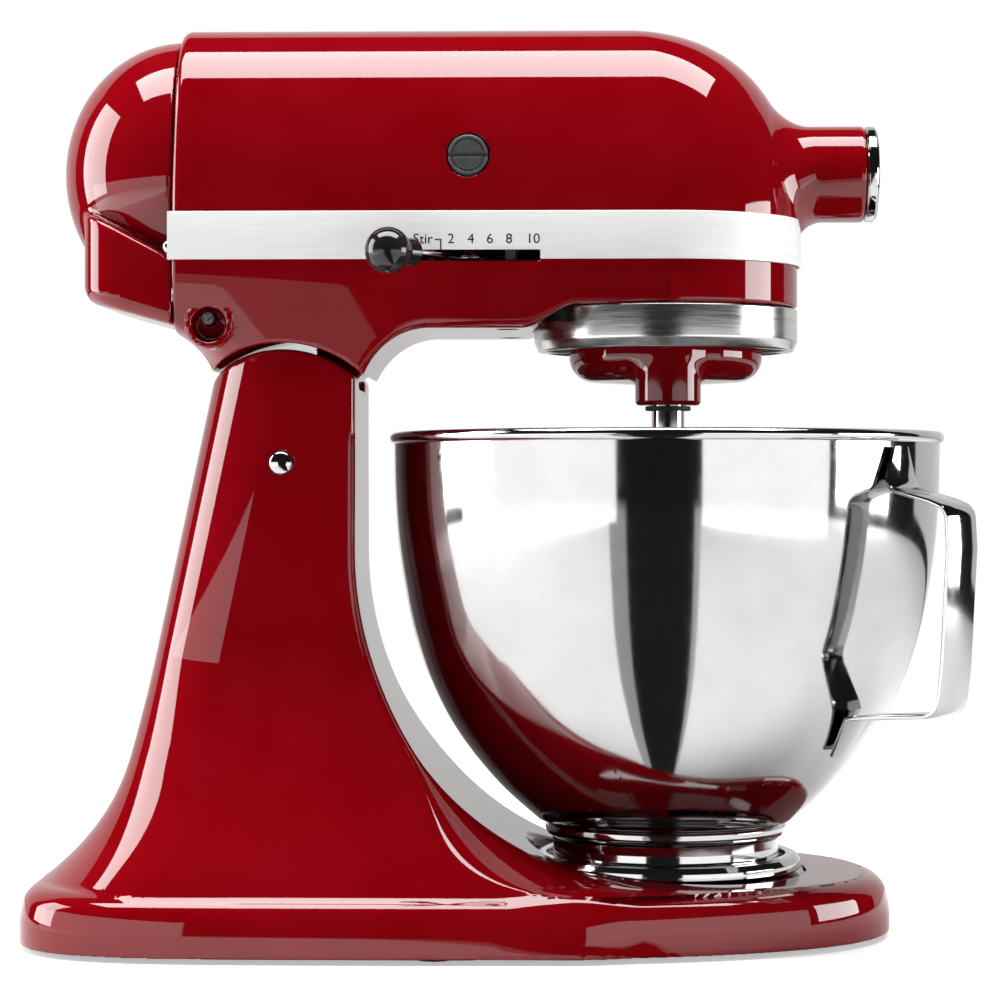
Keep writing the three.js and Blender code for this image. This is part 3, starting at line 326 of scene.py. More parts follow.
# ------------ the enamelled castings
def superellipse(a, b, power):
    """Below 0 inside a superellipse whose two half axes are 1."""
    return (a**power + b**power) ** (1 / power) - 1


def superellipse_height(t, power):
    """The height of a superellipse of half axes 1 at t from 0 to 1."""
    return (1 - t**power) ** (1 / power)


def dome(p):
    """The head's crown: superelliptic across, with a rounded front."""

    def raw(q):
        x, y, z = q.T
        high = np.maximum(z - HEAD_SPLIT, 0) / (HEAD_TOP - HEAD_SPLIT)
        half = HEAD_HALF * superellipse_height(np.minimum(high, 1), HEAD_POWER)
        rise = np.clip((z - DOME_Z) / (HEAD_TOP - DOME_Z), 0, 1)
        fall = superellipse_height(rise, HEAD_POWER)
        spine = CROWN_FRONT + (HEAD_FRONT - CROWN_FRONT) * fall - half
        across = np.hypot(np.maximum(x - spine, 0), y) / HEAD_HALF
        return superellipse(across, high, HEAD_POWER)

    return even(raw, p)


def motor_housing(p):
    """The upper head shell with its hub barrel, open for the brush caps and the hub's screw."""
    crown = dome(p)
    shell = common(crown, HEAD_REAR - p[:, 0], 3.5)
    barrel = bar(p, 0, (0, HUB_Z), HUB_RADIUS, 80, HUB_FRONT, 1.2)
    shell = union(shell, barrel, 10)
    shell = common(shell, HEAD_SPLIT - p[:, 2], 0.6)
    shell = without(shell, crown + HEAD_WALL, 0.4)
    shell = without(shell, bar(p, 0, (0, HUB_Z), HUB_BORE, 90, 160), 0.5)
    shell = without(shell, bar(p, 1, (COMMUTATOR_X, MOTOR_Z), 8.1, -70, 70), 0.7)
    return without(shell, bar(p, 1, (HUB_SCREW_X, HUB_Z), 2.8, 8, 30), 0.3)


def case_half(z):
    """The lower case's half width, which narrows down its neck to the column's."""
    t = np.clip((z - NECK_LOW) / (NECK_HIGH - NECK_LOW), 0, 1)
    run = np.where(t < 0.2, t**2 / 0.32, np.where(t > 0.8, 1 - (1 - t) ** 2 / 0.32, (t - 0.1) / 0.8))
    return COLUMN_HALF + (HEAD_HALF - COLUMN_HALF) * run


def case_outside(p):
    """The lower case's belly and neck, whose edges are rounder behind the hinge pin."""
    x, y, z = p.T
    rise = smooth((x - RAMP[0]) / (RAMP[1] - RAMP[0]))
    floor = CASE_FLOOR + (CASE_FRONT_FLOOR - CASE_FLOOR) * rise
    belly = common((floor - z) * 0.9, HEAD_REAR - x, 2)
    neck = common(x - COLUMN_FRONT - 0.5, NECK_REAR - x)
    profile = union(belly, neck, np.where(x > PIN_X, 28.0, 20.0))
    plan = np.where(x > BOWL_X, bullet(p), np.abs(y) - case_half(z))
    behind = 24 * smooth((PIN_X - x) / 20) * smooth((240 - z) / 20)
    case = common(plan, profile, 3.5 + np.where(x > PIN_X, -2.0 * rise, behind))
    case = common(case, HEAD_REAR - x, 1.2)
    return common(case, z - (HEAD_SPLIT - GAP), 0.6)


def case_hollow(p):
    """The room inside the lower case, whose sides follow the neck."""
    x, y, z = p.T
    rear = common(np.abs(y) - case_half(z) + CASE_WALL, CASE_FLOOR + CASE_WALL - z, 2)
    rear = common(rear, x - 28, 1)
    front = common(bullet(p, CASE_WALL), CASE_FRONT_FLOOR + CASE_WALL - z, 1)
    return union(rear, front)


def side_fitted(case, p, side):
    """The lower case with one side's lever stud, slot, screw hole and scoop."""
    pivot = (LEVER_X, side * LEVER_Y)
    stud = union(
        bar(p, 2, pivot, 4, 238, LEVER_Z - GAP, 0.3),
        bar(p, 2, pivot, 2, 238, LEVER_Z + 4, 0.4),
    )
    case = union(case, stud)
    near, far = sorted((side * 44, side * 60))
    slot = block(p, (SLOT_REAR, near, LEVER_Z - 1), (SLOT_FRONT, far, SLOT_HIGH))
    case = without(case, slot, 0.4)
    case = without(case, bar(p, 2, (CASE_SCREW[0], side * CASE_SCREW[1]), 3.8, 230, 237.8), 0.4)
    boss = bar(p, 1, SCOOP, 9, side * 41.9 - 5.9, side * 41.9 + 5.9)
    scoop = bar(p, 1, SCOOP, 6.6, side * 60 - 21, side * 60 + 21, 2)
    return without(union(case, boss), scoop, 0.8)


def lower_gear_case(p):
    """The lower case, cut for the tilt seam, the hinge pin, the gears, the levers and the lock."""
    case = without(case_outside(p), case_hollow(p), 0.3)
    case = without(case, bar(p, 1, PIN, SEAM_NECK, -95, 95), 0.9)
    case = union(case, tongue(p), 1.0)
    case = without(case, bar(p, 1, PIN, PIN_BORE, -60, 60))
    case = without(case, bar(p, 2, BOWL_AXIS, RING_OUTER + 0.6, 200, CASE_FRONT_FLOOR), 0.4)
    case = without(case, bar(p, 2, BOWL_AXIS, 6.3, 240, 260), 0.3)
    for side in (-1, 1):
        case = side_fitted(case, p, side)
    case = without(case, bar(p, 1, LOCK_PIN, 2.6, -60, 60))
    return without(case, plunger_bore(p))


def tongue(p):
    """The lug that turns on the hinge pin inside the pedestal."""
    x, y, z = p.T
    angle = np.degrees(np.arctan2(z - PIN_Z, x - PIN_X))
    reach = np.hypot(x - PIN_X, z - PIN_Z)
    wedge = (np.abs(angle - 62.5) - 12.5) * np.pi / 180 * np.maximum(reach, 1)
    lug = common(common(wedge, reach - 50), np.abs(y) - 16, 1)
    return union(lug, bar(p, 1, PIN, 12, -16, 16, 1), 2)


def plunger_bore(p):
    """The lock plunger's hole, which points away from the hinge pin."""
    tilt = math.radians(LOCK_ANGLE)
    along = (p[:, 0] - PIN_X) * math.cos(tilt) + (p[:, 2] - PIN_Z) * math.sin(tilt)
    off = -(p[:, 0] - PIN_X) * math.sin(tilt) + (p[:, 2] - PIN_Z) * math.cos(tilt)
    return common(np.hypot(off, p[:, 1]) - 4.3, np.abs(along - 57) - 17)


def end_cover(p):
    """The domed cap behind the head, with the boxed bottom that the cord comes through."""
    x, y, z = p.T
    front = HEAD_REAR - GAP

    def egg(q):
        scaled = (q - np.array([front, 0, COVER_Z])) / np.array([COVER_DEEP, COVER_HALF, COVER_HIGH])
        return np.linalg.norm(scaled, axis=1) - 1

    cap = even(egg, p)
    floor = 236 + 9 * np.clip((front - x) / 32, 0, 1.2)
    lid = 262 + 19 * np.clip((front - x) / 36, 0, 1)
    sides = common(np.abs(y) - COVER_HALF, BOX_REAR - x, 16)
    box = common(common(sides, floor - z, 5.5), z - lid, 3)
    cover = common(union(cap, box, 2.5), x - front, 1.0)
    box_inside = common(sides + COVER_WALL, floor + COVER_WALL - z, 2)
    box_inside = common(box_inside, z - lid + COVER_WALL, 1)
    cover = without(cover, union(cap + COVER_WALL, box_inside), 0.3)
    return without(cover, bar(p, 1, CORD_INLET, 5.3, 30, 60), 0.4)


def column_front(z):
    return COLUMN_FRONT + SWEEP_REACH * quarter((SWEEP_TOP - z) / (SWEEP_TOP - FOOT_TOP))


def foot_shape(x):
    """The foot's reach from its widest place towards x, and the power of its outline there."""
    ahead = x > FOOT_CENTRE
    reach = np.where(ahead, FOOT_FRONT - FOOT_CENTRE, FOOT_CENTRE - FOOT_REAR)
    return reach, np.where(ahead, FOOT_FRONT_POWER, FOOT_REAR_POWER)


def foot_half(x):
    """The foot's half width at its bottom edge, along its length."""
    reach, power = foot_shape(x)
    along = np.minimum(np.abs(x - FOOT_CENTRE) / reach, 0.995)
    return FOOT_HALF * superellipse_height(along, power)


def column(q):
    """The pedestal's column, which spreads on all sides towards the foot."""
    x, y, z = q.T
    beyond = np.maximum(foot_half(x) - (FOOT_HALF - SIDE_REACH), 0)
    half = COLUMN_HALF + (COLUMN_TOP - z) * COLUMN_SLOPE + beyond * smooth((SIDE_TOP - z) / SIDE_TOP)
    flare = FLARE_REACH * (np.maximum(0, FLARE_TOP - z) / FLARE_TOP) ** FLARE_POWER
    rear = np.maximum(BACK_X - (BACK_Z - z) * BACK_SLOPE - flare, FOOT_REAR + 6)
    spread = smooth((FLARE_TOP - z) / 50)
    sides = common(np.abs(y) - half, x - column_front(z), 3.2 + 30 * spread)
    return common(sides, rear - x, 30 + 17 * spread)


def rim(q):
    """The foot's outline, which leans in towards its top."""
    x, y, z = q.T
    lean = FOOT_LEAN * quarter((z - FOOT_EDGE) / 20)
    reach, power = foot_shape(x)
    return superellipse(np.abs(y) / (FOOT_HALF - lean), np.abs(x - FOOT_CENTRE) / (reach - lean), power)


def pedestal_and_foot(p):
    x, z = p[:, 0], p[:, 2]
    tower = common(even(column, p), 3 - z)
    foot = common(even(rim, p), z - FOOT_TOP, 6)
    body = union(foot, tower, 1.5 + 8 * smooth(x / 50))
    seam = np.hypot(x - PIN_X, z - PIN_Z) - SEAM_PEDESTAL
    body = common(body, np.where(z < PIN_Z, np.abs(x - PIN_X) - 300, seam), 1.2)
    body = common(body, FOOT_LOW - z, 1.0)
    return opened(body, p)


def opened(body, p):
    """The pedestal and foot with their hinge pocket, bowl land and hollow cut out."""
    x, y, z = p.T
    bearing = np.degrees(np.arctan2(z - PIN_Z, x - PIN_X))
    pocket = common(np.abs(y) - POCKET_HALF, np.abs(bearing - 87.5) - 40.5)
    pocket = union(pocket, bar(p, 1, PIN, 13.5, -POCKET_HALF, POCKET_HALF))
    result = without(body, pocket, 0.8)
    result = without(result, bar(p, 2, BOWL_AXIS, 55, FOOT_TOP, 60), 1.2)
    under = common(body + FOOT_WALL, z - 19.5, 3)
    posts = np.full(len(p), 1e3)
    for post in POSTS:
        posts = np.minimum(posts, bar(p, 2, post, 8.5, 8.3, 30, 0.5))
    result = without(result, without(under, posts, 1), 0.5)
    return without(result, bar(p, 1, PIN, PIN_BORE, -60, 60), 0.3)


def planetary_hub(p):
    """The turning plate under the head, with the boss that the agitator shaft runs in."""
    z = p[:, 2]
    off = np.hypot(p[:, 0] - BOWL_X, p[:, 1])
    disc = common(off - HUB_PLATE_RADIUS, 215.6 + 0.06 * (off - 24) - z, 9)
    disc = common(disc, z - HUB_PLATE_TOP, 0.5)
    boss = bar(p, 2, AGITATOR, 12.6, 205.7, HUB_PLATE_TOP, 1.8)
    hub = union(disc, boss, 4)
    hub = without(hub, bar(p, 2, AGITATOR, 6.6, 200, 240), 0.5)
    return without(hub, bar(p, 2, BOWL_AXIS, 6.3, 222, 240))


# Each piece: its name, field, box and grid cell, then its body, finish and the CAD nodes it stands for.
CASTINGS = [
    ("housing", motor_housing, ((HEAD_REAR, -53, HEAD_SPLIT), (HUB_FRONT, 53, 355)), 1.25,
     "head", "enamel", "motor_housing"),
    ("gear_case", lower_gear_case, ((HEAD_REAR, -53, 170), (HEAD_FRONT, 53, 270)), 1.2,
     "head", "enamel", "lower_gear_case"),
    ("end_cover", end_cover, ((-170, -50, 234), (HEAD_REAR, 50, 351)), 1.2,
     "head", "enamel", "end_cover"),
    ("stand", pedestal_and_foot, ((FOOT_REAR, -93, FOOT_LOW), (FOOT_FRONT, 93, 229)), 1.4,
     "stand", "enamel", "foot_casting", "pedestal"),
    ("planetary", planetary_hub, ((28, -44, 204), (107, 40, 232)), 0.8,
     "planetary", "enamel", "planetary_hub"),
]


def build_fields(pieces, coarser=1):
    """Builds a table of pieces, on grids that are coarser by the factor given."""
    for name, field, (low, high), cell, body, finish, *nodes in pieces:
        made = field_mesh(name + "_visual", field, low, high, cell * coarser)
        finish_piece(made, body, finish, nodes)


# ------------ turned, swept and bent pieces
SHARP = 35  # edges that turn by more degrees than this stay sharp


def selected(*made):
    """A context in which an operator works on these objects, with the first one active."""
    return bpy.context.temp_override(
        object=made[0], active_object=made[0], selected_objects=made, selected_editable_objects=made,
    )


def shade_smooth(made, sharp):
    """Shades an object smooth, except across edges sharper than the angle given."""
    with selected(made):
        bpy.ops.object.shade_smooth_by_angle(angle=math.radians(sharp))


def mesh_of(name, points, faces, sharp=SHARP):
    """A mesh from millimetre points, shaded smooth except across sharp edges."""
    mesh = bpy.data.meshes.new(name)
    mesh.from_pydata([tuple(c * MM for c in p) for p in points], [], faces)
    mesh.validate()
    made = linked(name, mesh)
    mesh.shade_smooth()
    shade_smooth(made, sharp)
    return made


NEARLY_STRAIGHT = math.pi - 0.05


def bend(before, here, after, radius, steps):
    """The points of a corner, rounded between the points before and after it."""
    back, on = before - here, after - here
    cut = min(radius / math.tan(back.angle(on) / 2), back.length * 0.48, on.length * 0.48)
    start, end = here + back.normalized() * cut, here + on.normalized() * cut
    made = []
    for k in range(steps + 1):
        t = k / steps
        made.append(tuple((1 - t) ** 2 * start + 2 * t * (1 - t) * here + t * t * end))
    return made


def rounded(outline, radius, steps=4):
    """A closed outline with each corner rounded. A point may carry its own radius."""
    made = []
    for i, point in enumerate(outline):
        before, here = Vector(outline[i - 1][:2]), Vector(point[:2])
        after = Vector(outline[(i + 1) % len(outline)][:2])
        r = point[2] if len(point) > 2 else radius
        sharp = r <= 0 or min((before - here).length, (after - here).length) < 1e-6
        if sharp or (before - here).angle(after - here) > NEARLY_STRAIGHT:
            made.append(tuple(here))
        else:
            made += bend(before, here, after, r, steps)
    return made


def rounded_path(path, steps):
    """An open path whose points may carry a bend radius."""
    made = []
    for i, point in enumerate(path):
        here = Vector(point[:2])
        if len(point) < 3:
            made.append(tuple(here))
        else:
            made += bend(Vector(path[i - 1][:2]), here, Vector(path[i + 1][:2]), point[2], steps)
    return made


def lathe(name, outline, sides=96, centre=(0, 0), sharp=SHARP):
    """A closed outline of radius and height turned about Z. Points on the axis are shared."""
    points, rows = [], []
    for r, z in outline:
        if abs(r) < 1e-6:
            rows.append([len(points)] * sides)
            points.append((centre[0], centre[1], z))
            continue
        rows.append(list(range(len(points), len(points) + sides)))
        for i in range(sides):
            a = TURN * i / sides
            points.append((centre[0] + r * math.cos(a), centre[1] + r * math.sin(a), z))
    faces = []
    for k, row in enumerate(rows):
        following = rows[(k + 1) % len(rows)]
        for i in range(sides):
            j = (i + 1) % sides
            face = [row[i], row[j], following[j], following[i]]
            face = [v for n, v in enumerate(face) if v not in face[:n]]
            if len(face) > 2:
                faces.append(face)
    return mesh_of(name, points, faces, sharp)


def turned_about(made, axis, place):
    """Turns a piece that was made about Z so that it points along another axis, and moves it."""
    turns = {"+x": (0, 90), "-x": (0, -90), "-y": (90, 0), "+y": (-90, 0)}
    about_x, about_y = (math.radians(a) for a in turns[axis])
    co = np.array([v.co for v in made.data.vertices])
    c, s = math.cos(about_x), math.sin(about_x)
    co = co @ np.array([[1, 0, 0], [0, c, -s], [0, s, c]]).T
    c, s = math.cos(about_y), math.sin(about_y)
    co = co @ np.array([[c, 0, s], [0, 1, 0], [-s, 0, c]]).T
    co += np.array(place) * MM
    made.data.vertices.foreach_set("co", co.astype(np.float32).ravel())
    made.data.update()
    return made


def swept(name, path, section, sharp=SHARP):
    """A section of side and up offsets carried along a level path of x and y."""
    count = len(path)
    points, faces = [], []
    for i in range(count):
        before, after = path[max(0, i - 1)], path[min(count - 1, i + 1)]
        along = Vector((after[0] - before[0], after[1] - before[1])).normalized()
        out = Vector((along.y, -along.x))
        shape = section(i) if callable(section) else section
        for side, up in shape:
            points.append((path[i][0] + out.x * side, path[i][1] + out.y * side, up))
    sides = len(points) // count
    for i in range(count - 1):
        j = i + 1
        for k in range(sides):
            m = (k + 1) % sides
            faces.append([i * sides + k, j * sides + k, j * sides + m, i * sides + m])
    faces.append(list(range(sides)))
    faces.append([(count - 1) * sides + k for k in reversed(range(sides))])
    return mesh_of(name, points, faces, sharp)


def arc(cx, cy, r, start, end, steps):
    """Points along part of a circle, between two angles in degrees."""
    return [
        (cx + r * math.cos(math.radians(start + (end - start) * i / steps)),
         cy + r * math.sin(math.radians(start + (end - start) * i / steps)))
        for i in range(steps + 1)
    ]


def smooth_curve(points, steps):
    """A Catmull-Rom curve through points."""
    made = []
    for i in range(len(points) - 1):
        p0, p1 = Vector(points[max(0, i - 1)]), Vector(points[i])
        p2, p3 = Vector(points[i + 1]), Vector(points[min(len(points) - 1, i + 2)])
        for k in range(steps):
            t = k / steps
            q = 0.5 * (2 * p1 + (p2 - p0) * t + (2 * p0 - 5 * p1 + 4 * p2 - p3) * t * t
                       + (3 * p1 - p0 - 3 * p2 + p3) * t**3)
            made.append(tuple(q))
    made.append(tuple(points[-1]))
    return made


# ------------ the bowl
# The bowl's outer wall, from its bottom corner up: radius and height.
BOWL_WALL = [(50.4, 44.5), (66.2, 58.8), (81.4, 77.7), (91.8, 96.7), (98.4, 115.6),
             (102.5, 134.6), (105.3, 153.6), (106.6, 172.5), (107.0, 191.0)]


def bowl_shell():
    """A thin turned wall with a rolled bead at its rim."""
    outer = smooth_curve(BOWL_WALL, 7)
    bead = [(106.4 + 2.3 * math.cos(math.radians(a)), 193.6 + 2.3 * math.sin(math.radians(a)))
            for a in range(-75, 196, 22)]
    inner = [(r - 1.2, z + 0.6) for r, z in reversed(outer[:-1])]
    bottom = [(0, 43.5), (30, 43.5), (44, 43.6), (47.6, 43.8)]
    outline = bottom + outer + bead + inner + [(48, 45.0), (30, 44.8), (0, 44.8)]
    made = lathe("bowl_visual", outline, 160, BOWL_AXIS, 50)
    finish_piece(made, "bowl", "polished_steel", ["bowl_shell"])


def bowl_foot():
    """The waisted ring under the bowl, with the four lugs of its bayonet."""
    outline = rounded([
        (44.0, 27.2), (45.3, 27.3), (45.1, 29.5), (44.4, 31.4), (44.2, 34), (44.6, 37.5), (46.4, 38.6),
        (47.4, 40.4), (47.4, 42.2), (46.4, 43.3), (42, 43.3), (42.2, 40.4), (43.0, 38.4), (42.8, 28.4),
    ], 0.6)
    made = lathe("bowl_foot_visual", outline, 128, BOWL_AXIS)
    lugs = []
    for i in range(4):
        path = arc(BOWL_X, 0, 46.2, 90 * i - 9.5, 90 * i + 9.5, 10)
        section = rounded([(-2.2, 27.6), (2.2, 27.6), (2.2, 28.9), (-2.2, 28.9)], 0.4, 2)
        lugs.append(swept("lug", path, section))
    joined_to(made, lugs)
    finish_piece(made, "bowl", "polished_steel", ["bowl_foot"])


def joined_to(made, others):
    """Joins other objects into the first."""
    with selected(made, *others):
        bpy.ops.object.join()


HANDLE_ANGLE, HANDLE_WIDTH, HANDLE_THICK = -39.0, 20.0, 1.8
# The strap's middle line from the rim down: radius, height and the radius of a bend.
HANDLE_PATH = [(108.9, 189.5), (108.6, 178), (110.6, 173.4, 5), (127, 169.4), (134.4, 166.6, 7), (135.3, 152),
               (132.6, 108), (130.6, 91.0, 8), (94.6, 88.6, 6), (91.2, 88.0), (81.2, 73.4)]


def bowl_handle():
    """A flat strap, bent in an upright plane, with rounded ends and edges."""
    path = rounded_path(HANDLE_PATH, 8)
    lengths = np.concatenate([[0], np.cumsum([math.dist(a, b) for a, b in zip(path, path[1:])])])
    half, thick, edge, end_round = HANDLE_WIDTH / 2, HANDLE_THICK / 2, 0.8, 6
    points, faces, sides = [], [], 12
    for i, (r, z) in enumerate(path):
        r0, z0 = path[max(0, i - 1)]
        r1, z1 = path[min(len(path) - 1, i + 1)]
        long = math.hypot(r1 - r0, z1 - z0)
        normal = (-(z1 - z0) / long, (r1 - r0) / long)
        end = min(lengths[i], lengths[-1] - lengths[i])
        width = half - end_round + math.sqrt(max(0.5, end_round**2 - max(0, end_round - end) ** 2))
        near = [(thick, 0), (thick, width - edge), (thick * 0.7, width - edge * 0.25), (0, width),
                (-thick * 0.7, width - edge * 0.25), (-thick, width - edge)]
        for u, v in near + [(-u, -v) for u, v in near]:
            points.append((r + normal[0] * u, v, z + normal[1] * u))
    for i in range(len(path) - 1):
        for k in range(sides):
            m = (k + 1) % sides
            faces.append([i * sides + k, i * sides + m, (i + 1) * sides + m, (i + 1) * sides + k])
    faces.append(list(reversed(range(sides))))
    faces.append([(len(path) - 1) * sides + k for k in range(sides)])
    a = math.radians(HANDLE_ANGLE)
    places = [(BOWL_X + x * math.cos(a) - y * math.sin(a), x * math.sin(a) + y * math.cos(a), z)
              for x, y, z in points]
    made = mesh_of("bowl_handle_visual", places, faces, 40)
    finish_piece(made, "bowl", "polished_steel", ["bowl_handle"])


# ------------ other bright pieces
def clamp_plate():
    """The dished plate on the foot, whose lip holds the bowl's lugs."""
    outline = rounded([
        (9, 24.4), (51.2, 24.4), (53.0, 25.6), (52.8, 28.4), (51.6, 30.6), (50.2, 31.2), (47.0, 31.2),
        (47.0, 29.8), (49.4, 29.4), (50.6, 27.6), (49.4, 26.5), (9, 26.3),
    ], 0.7)
    made = lathe("clamp_plate_visual", outline, 128, BOWL_AXIS)
    finish_piece(made, "stand", "polished_steel", ["bowl_clamp_plate"])


def drip_ring():
    o = RING_OUTER
    outline = rounded([
        (o - 2.2, 243.8, 0.2), (o - 2.2, 231.4, 2), (o - 4.6, 228.4, 0.8), (o - 3.6, 227.4, 0.5),
        (o - 1.6, 227.7, 1.2), (o, 231.5, 2.5), (o, 243.8, 0.5),
    ], 0.5, 6)
    made = lathe("drip_ring_visual", outline, 160, BOWL_AXIS, 50)
    finish_piece(made, "head", "brushed_steel", ["drip_ring"])


def band_path(offset):
    """The trim band's level line, from the near rear end round the front to the far one."""
    y = HEAD_HALF + offset
    straight = [HEAD_REAR, HEAD_REAR + 0.4, SLOT_REAR - 0.01, SLOT_REAR, SLOT_FRONT, SLOT_FRONT + 0.01, 45]
    near = [(x, -y) for x in straight]
    front = arc(BOWL_X, 0, y, -90, 90, 56)
    return near + front + [(x, y) for x in reversed(straight)]


def trim_band():
    """A thin strip round the head, cut away over the levers' slots and folded in at its ends."""
    path = band_path(GAP)

    def section(i):
        low = SLOT_HIGH if SLOT_REAR <= path[i][0] <= SLOT_FRONT else BAND_LOW
        return rounded([(0, low), (1.1, low), (1.1, BAND_HIGH), (0, BAND_HIGH)], 0.35, 3)

    made = swept("trim_band_visual", path, section)
    folds = []
    for side in (-1, 1):
        y = side * (HEAD_HALF + 1.4)
        ends = [(HEAD_REAR - 1.1, y), (HEAD_REAR - 1.1, y - side * 4.2)]
        if side < 0:
            ends.reverse()
        fold = rounded([(-1.1, BAND_LOW), (0, BAND_LOW), (0, BAND_HIGH), (-1.1, BAND_HIGH)], 0.35, 3)
        folds.append(swept("fold", ends, fold))
    joined_to(made, folds)
    finish_piece(made, "head", "satin_aluminium", ["trim_band"])


def dome_head(name, radius, high, axis, place, recess=0.0):
    """A low domed head, with a recess in the middle where its radius is given."""
    edge = 0.35
    outline = [(0, -0.4), (radius * 0.97, -0.4), (radius, 0.1), (radius * 0.985, edge)]
    for degrees in range(12, 84, 6):
        a = math.radians(degrees)
        outline.append((radius * math.cos(a) * 0.97, edge + (high - edge) * math.sin(a)))
    if recess:
        outline += [(recess, high - 0.02), (recess * 0.8, high - 0.5), (0, high - 0.5)]
    else:
        outline.append((0, high))
    return turned_about(lathe(name, outline, 48), axis, place)


def hub_cap():
    r = 18.7
    outline = rounded([
        (0, 0), (r - 0.6, 0, 0.3), (r, 0.8, 0.3), (r, 3.5, 0.4), (r - 1.1, 4.5, 0.5), (13.4, 4.5, 0.4),
        (12.4, 3.6, 0.6), (3, 3.4, 0.2), (0, 3.4),
    ], 0.3, 4)
    made = turned_about(lathe("hub_cap_visual", outline, 96), "+x", (HUB_FRONT + GAP, 0, HUB_Z))
    finish_piece(made, "hub_cover", "polished_steel", ["hub_cap"])


def hinge_pin():
    half = 40.9
    rod = [(0, -half), (4, -half), (4, half), (0, half)]
    shaft = turned_about(lathe("hinge_pin_visual", rod, 40), "+y", (PIN_X, 0, PIN_Z))
    ends = [dome_head("pin_head", 4.6, 2.1, axis, (PIN_X, y, PIN_Z))
            for axis, y in (("-y", -40.7), ("+y", 40.7))]
    joined_to(shaft, ends)
    finish_piece(shaft, "stand", "polished_steel", ["hinge_pin"])


def agitator_shaft():
    outline = rounded([
        (0, 165), (5.9, 165, 0.5), (6.3, 165.8, 0.3), (6.3, 233, 0.3), (4.5, 233.2, 0.2), (4.5, 243.2, 0.4),
        (0, 243.2),
    ], 0.2)
    made = lathe("agitator_shaft_visual", outline, 56, AGITATOR)
    pin = lathe("pin", rounded([(0, -9), (2, -9, 0.6), (2, 9, 0.6), (0, 9)], 0), 24)
    joined_to(made, [turned_about(pin, "+x", (*AGITATOR, 176))])
    finish_piece(made, "agitator", "polished_steel", ["agitator_shaft"])


def shaft_washer():
    outline = rounded([(6.6, 203.7), (8.7, 203.7), (8.7, 205.4), (6.6, 205.4)], 0.4)
    made = lathe("shaft_washer_visual", outline, 48, AGITATOR)
    finish_piece(made, "agitator", "rubber", ["shaft_washer"])


def trim_band_screw():
    made = dome_head("trim_band_screw_visual", 2.6, 1.8, "-x", (HEAD_REAR - 1.3, -50.4, 265.3), 0.8)
    finish_piece(made, "head", "polished_steel", ["trim_band_screw"])


# ------------ small pieces made from fields
def brush_cap(p):
    """Either side's cap over a motor brush, with a raised lip and a screwdriver slot."""
    q = np.stack([p[:, 0] - COMMUTATOR_X, np.abs(p[:, 1]), p[:, 2] - MOTOR_Z], -1)
    cap = bar(q, 1, (0, 0), 7.6, 44, 51.0, 0.7)
    dish = bar(q, 1, (0, 0), 6.3, 50.2, 53, 0.3)
    face = bar(q, 1, (0, 0), 5.9, 44, 50.8, 0.4)
    cap = union(without(cap, dish, 0.4), face)
    return without(cap, block(q, (-9, 49.4, -0.75), (9, 54, 0.75), 0.2), 0.25)


def lever_line(p, side):
    """Coordinates along, across and above a lever's arm, from its pivot, and the arm's length."""
    dx, dy = KNOB_X - LEVER_X, KNOB_Y - LEVER_Y
    long = math.hypot(dx, dy)
    x, y = p[:, 0] - LEVER_X, side * p[:, 1] - LEVER_Y
    up = p[:, 2] - LEVER_Z - LEVER_THICK / 2
    return (x * dx + y * dy) / long, (-x * dy + y * dx) / long, up, long


def lever_arm(side):
    """A flat arm with an eye round its pivot and a round end inside the knob."""
    half = LEVER_THICK / 2

    def field(p):
        along, across, up, long = lever_line(p, side)
        q = np.stack([along, across, up], -1)
        arm = block(q, (0, -2.6, -half), (long - 4, 2.6, half), 0.35)
        eye = common(np.hypot(along, across) - 7, np.abs(up) - half, 0.35)
        tip = bar(q, 0, (0, 0), 2.0, long - 14, long - 2.2, 0.3)
        made = union(union(arm, eye, 2), tip, 0.4)
        return without(made, common(np.hypot(along, across) - 2.3, np.abs(up) - 3), 0.2)

    return field


def knob(side):
    """A ball on a short neck, bored and slotted for the end of the lever's arm."""

    def field(p):
        along, across, up, long = lever_line(p, side)
        ball = np.sqrt((along - long) ** 2 + across**2 + up**2) - KNOB_RADIUS
        off = np.hypot(across, up)
        neck = common(off - 4.6 - 0.06 * (long - along), np.abs(along - long + 9) - 5.2, 0.8)
        bore = common(off - 2.35, np.abs(along - long + 10) - 8.4)
        slot = common(common(np.abs(across) - 2.9, np.abs(up) - 1.15), np.abs(along - long + 11) - 8)
        return without(without(union(ball, neck, 1.2), bore, 0.2), slot, 0.2)

    return field


def thumb_screw(p):
    """The hub's fluted screw, on the far side."""
    x, y, z = p[:, 0] - HUB_SCREW_X, p[:, 1], p[:, 2] - HUB_Z
    flute = 0.9 * np.cos(6 * np.arctan2(z, x))
    head = common(np.hypot(x, z) - 10 + flute, np.abs(y - 27) - 5, 1.4)
    made = union(head, bar(p, 1, (HUB_SCREW_X, HUB_Z), 6, 19.2, 24, 0.6), 1)
    return union(made, bar(p, 1, (HUB_SCREW_X, HUB_Z), 2.5, 9.6, 24, 0.4))


BEATER_LOW, BEATER_HIGH = 54, 150
# The beater's outline from its bottom up: height and half width.
BEATER_OUTLINE = [(50, 0), (54, 14), (58, 22), (66, 32), (80, 43), (96, 50), (114, 54), (130, 52), (142, 42),
                  (150, 24), (154, 0)]


def beater_leaf(q):
    """The beater's whole outline, seen along Y."""
    x, z = q[:, 0], q[:, 2]
    wide = np.interp(z, *zip(*BEATER_OUTLINE))
    return np.maximum(np.abs(x - BOWL_X) - wide, np.maximum(BEATER_LOW - z, z - BEATER_HIGH))


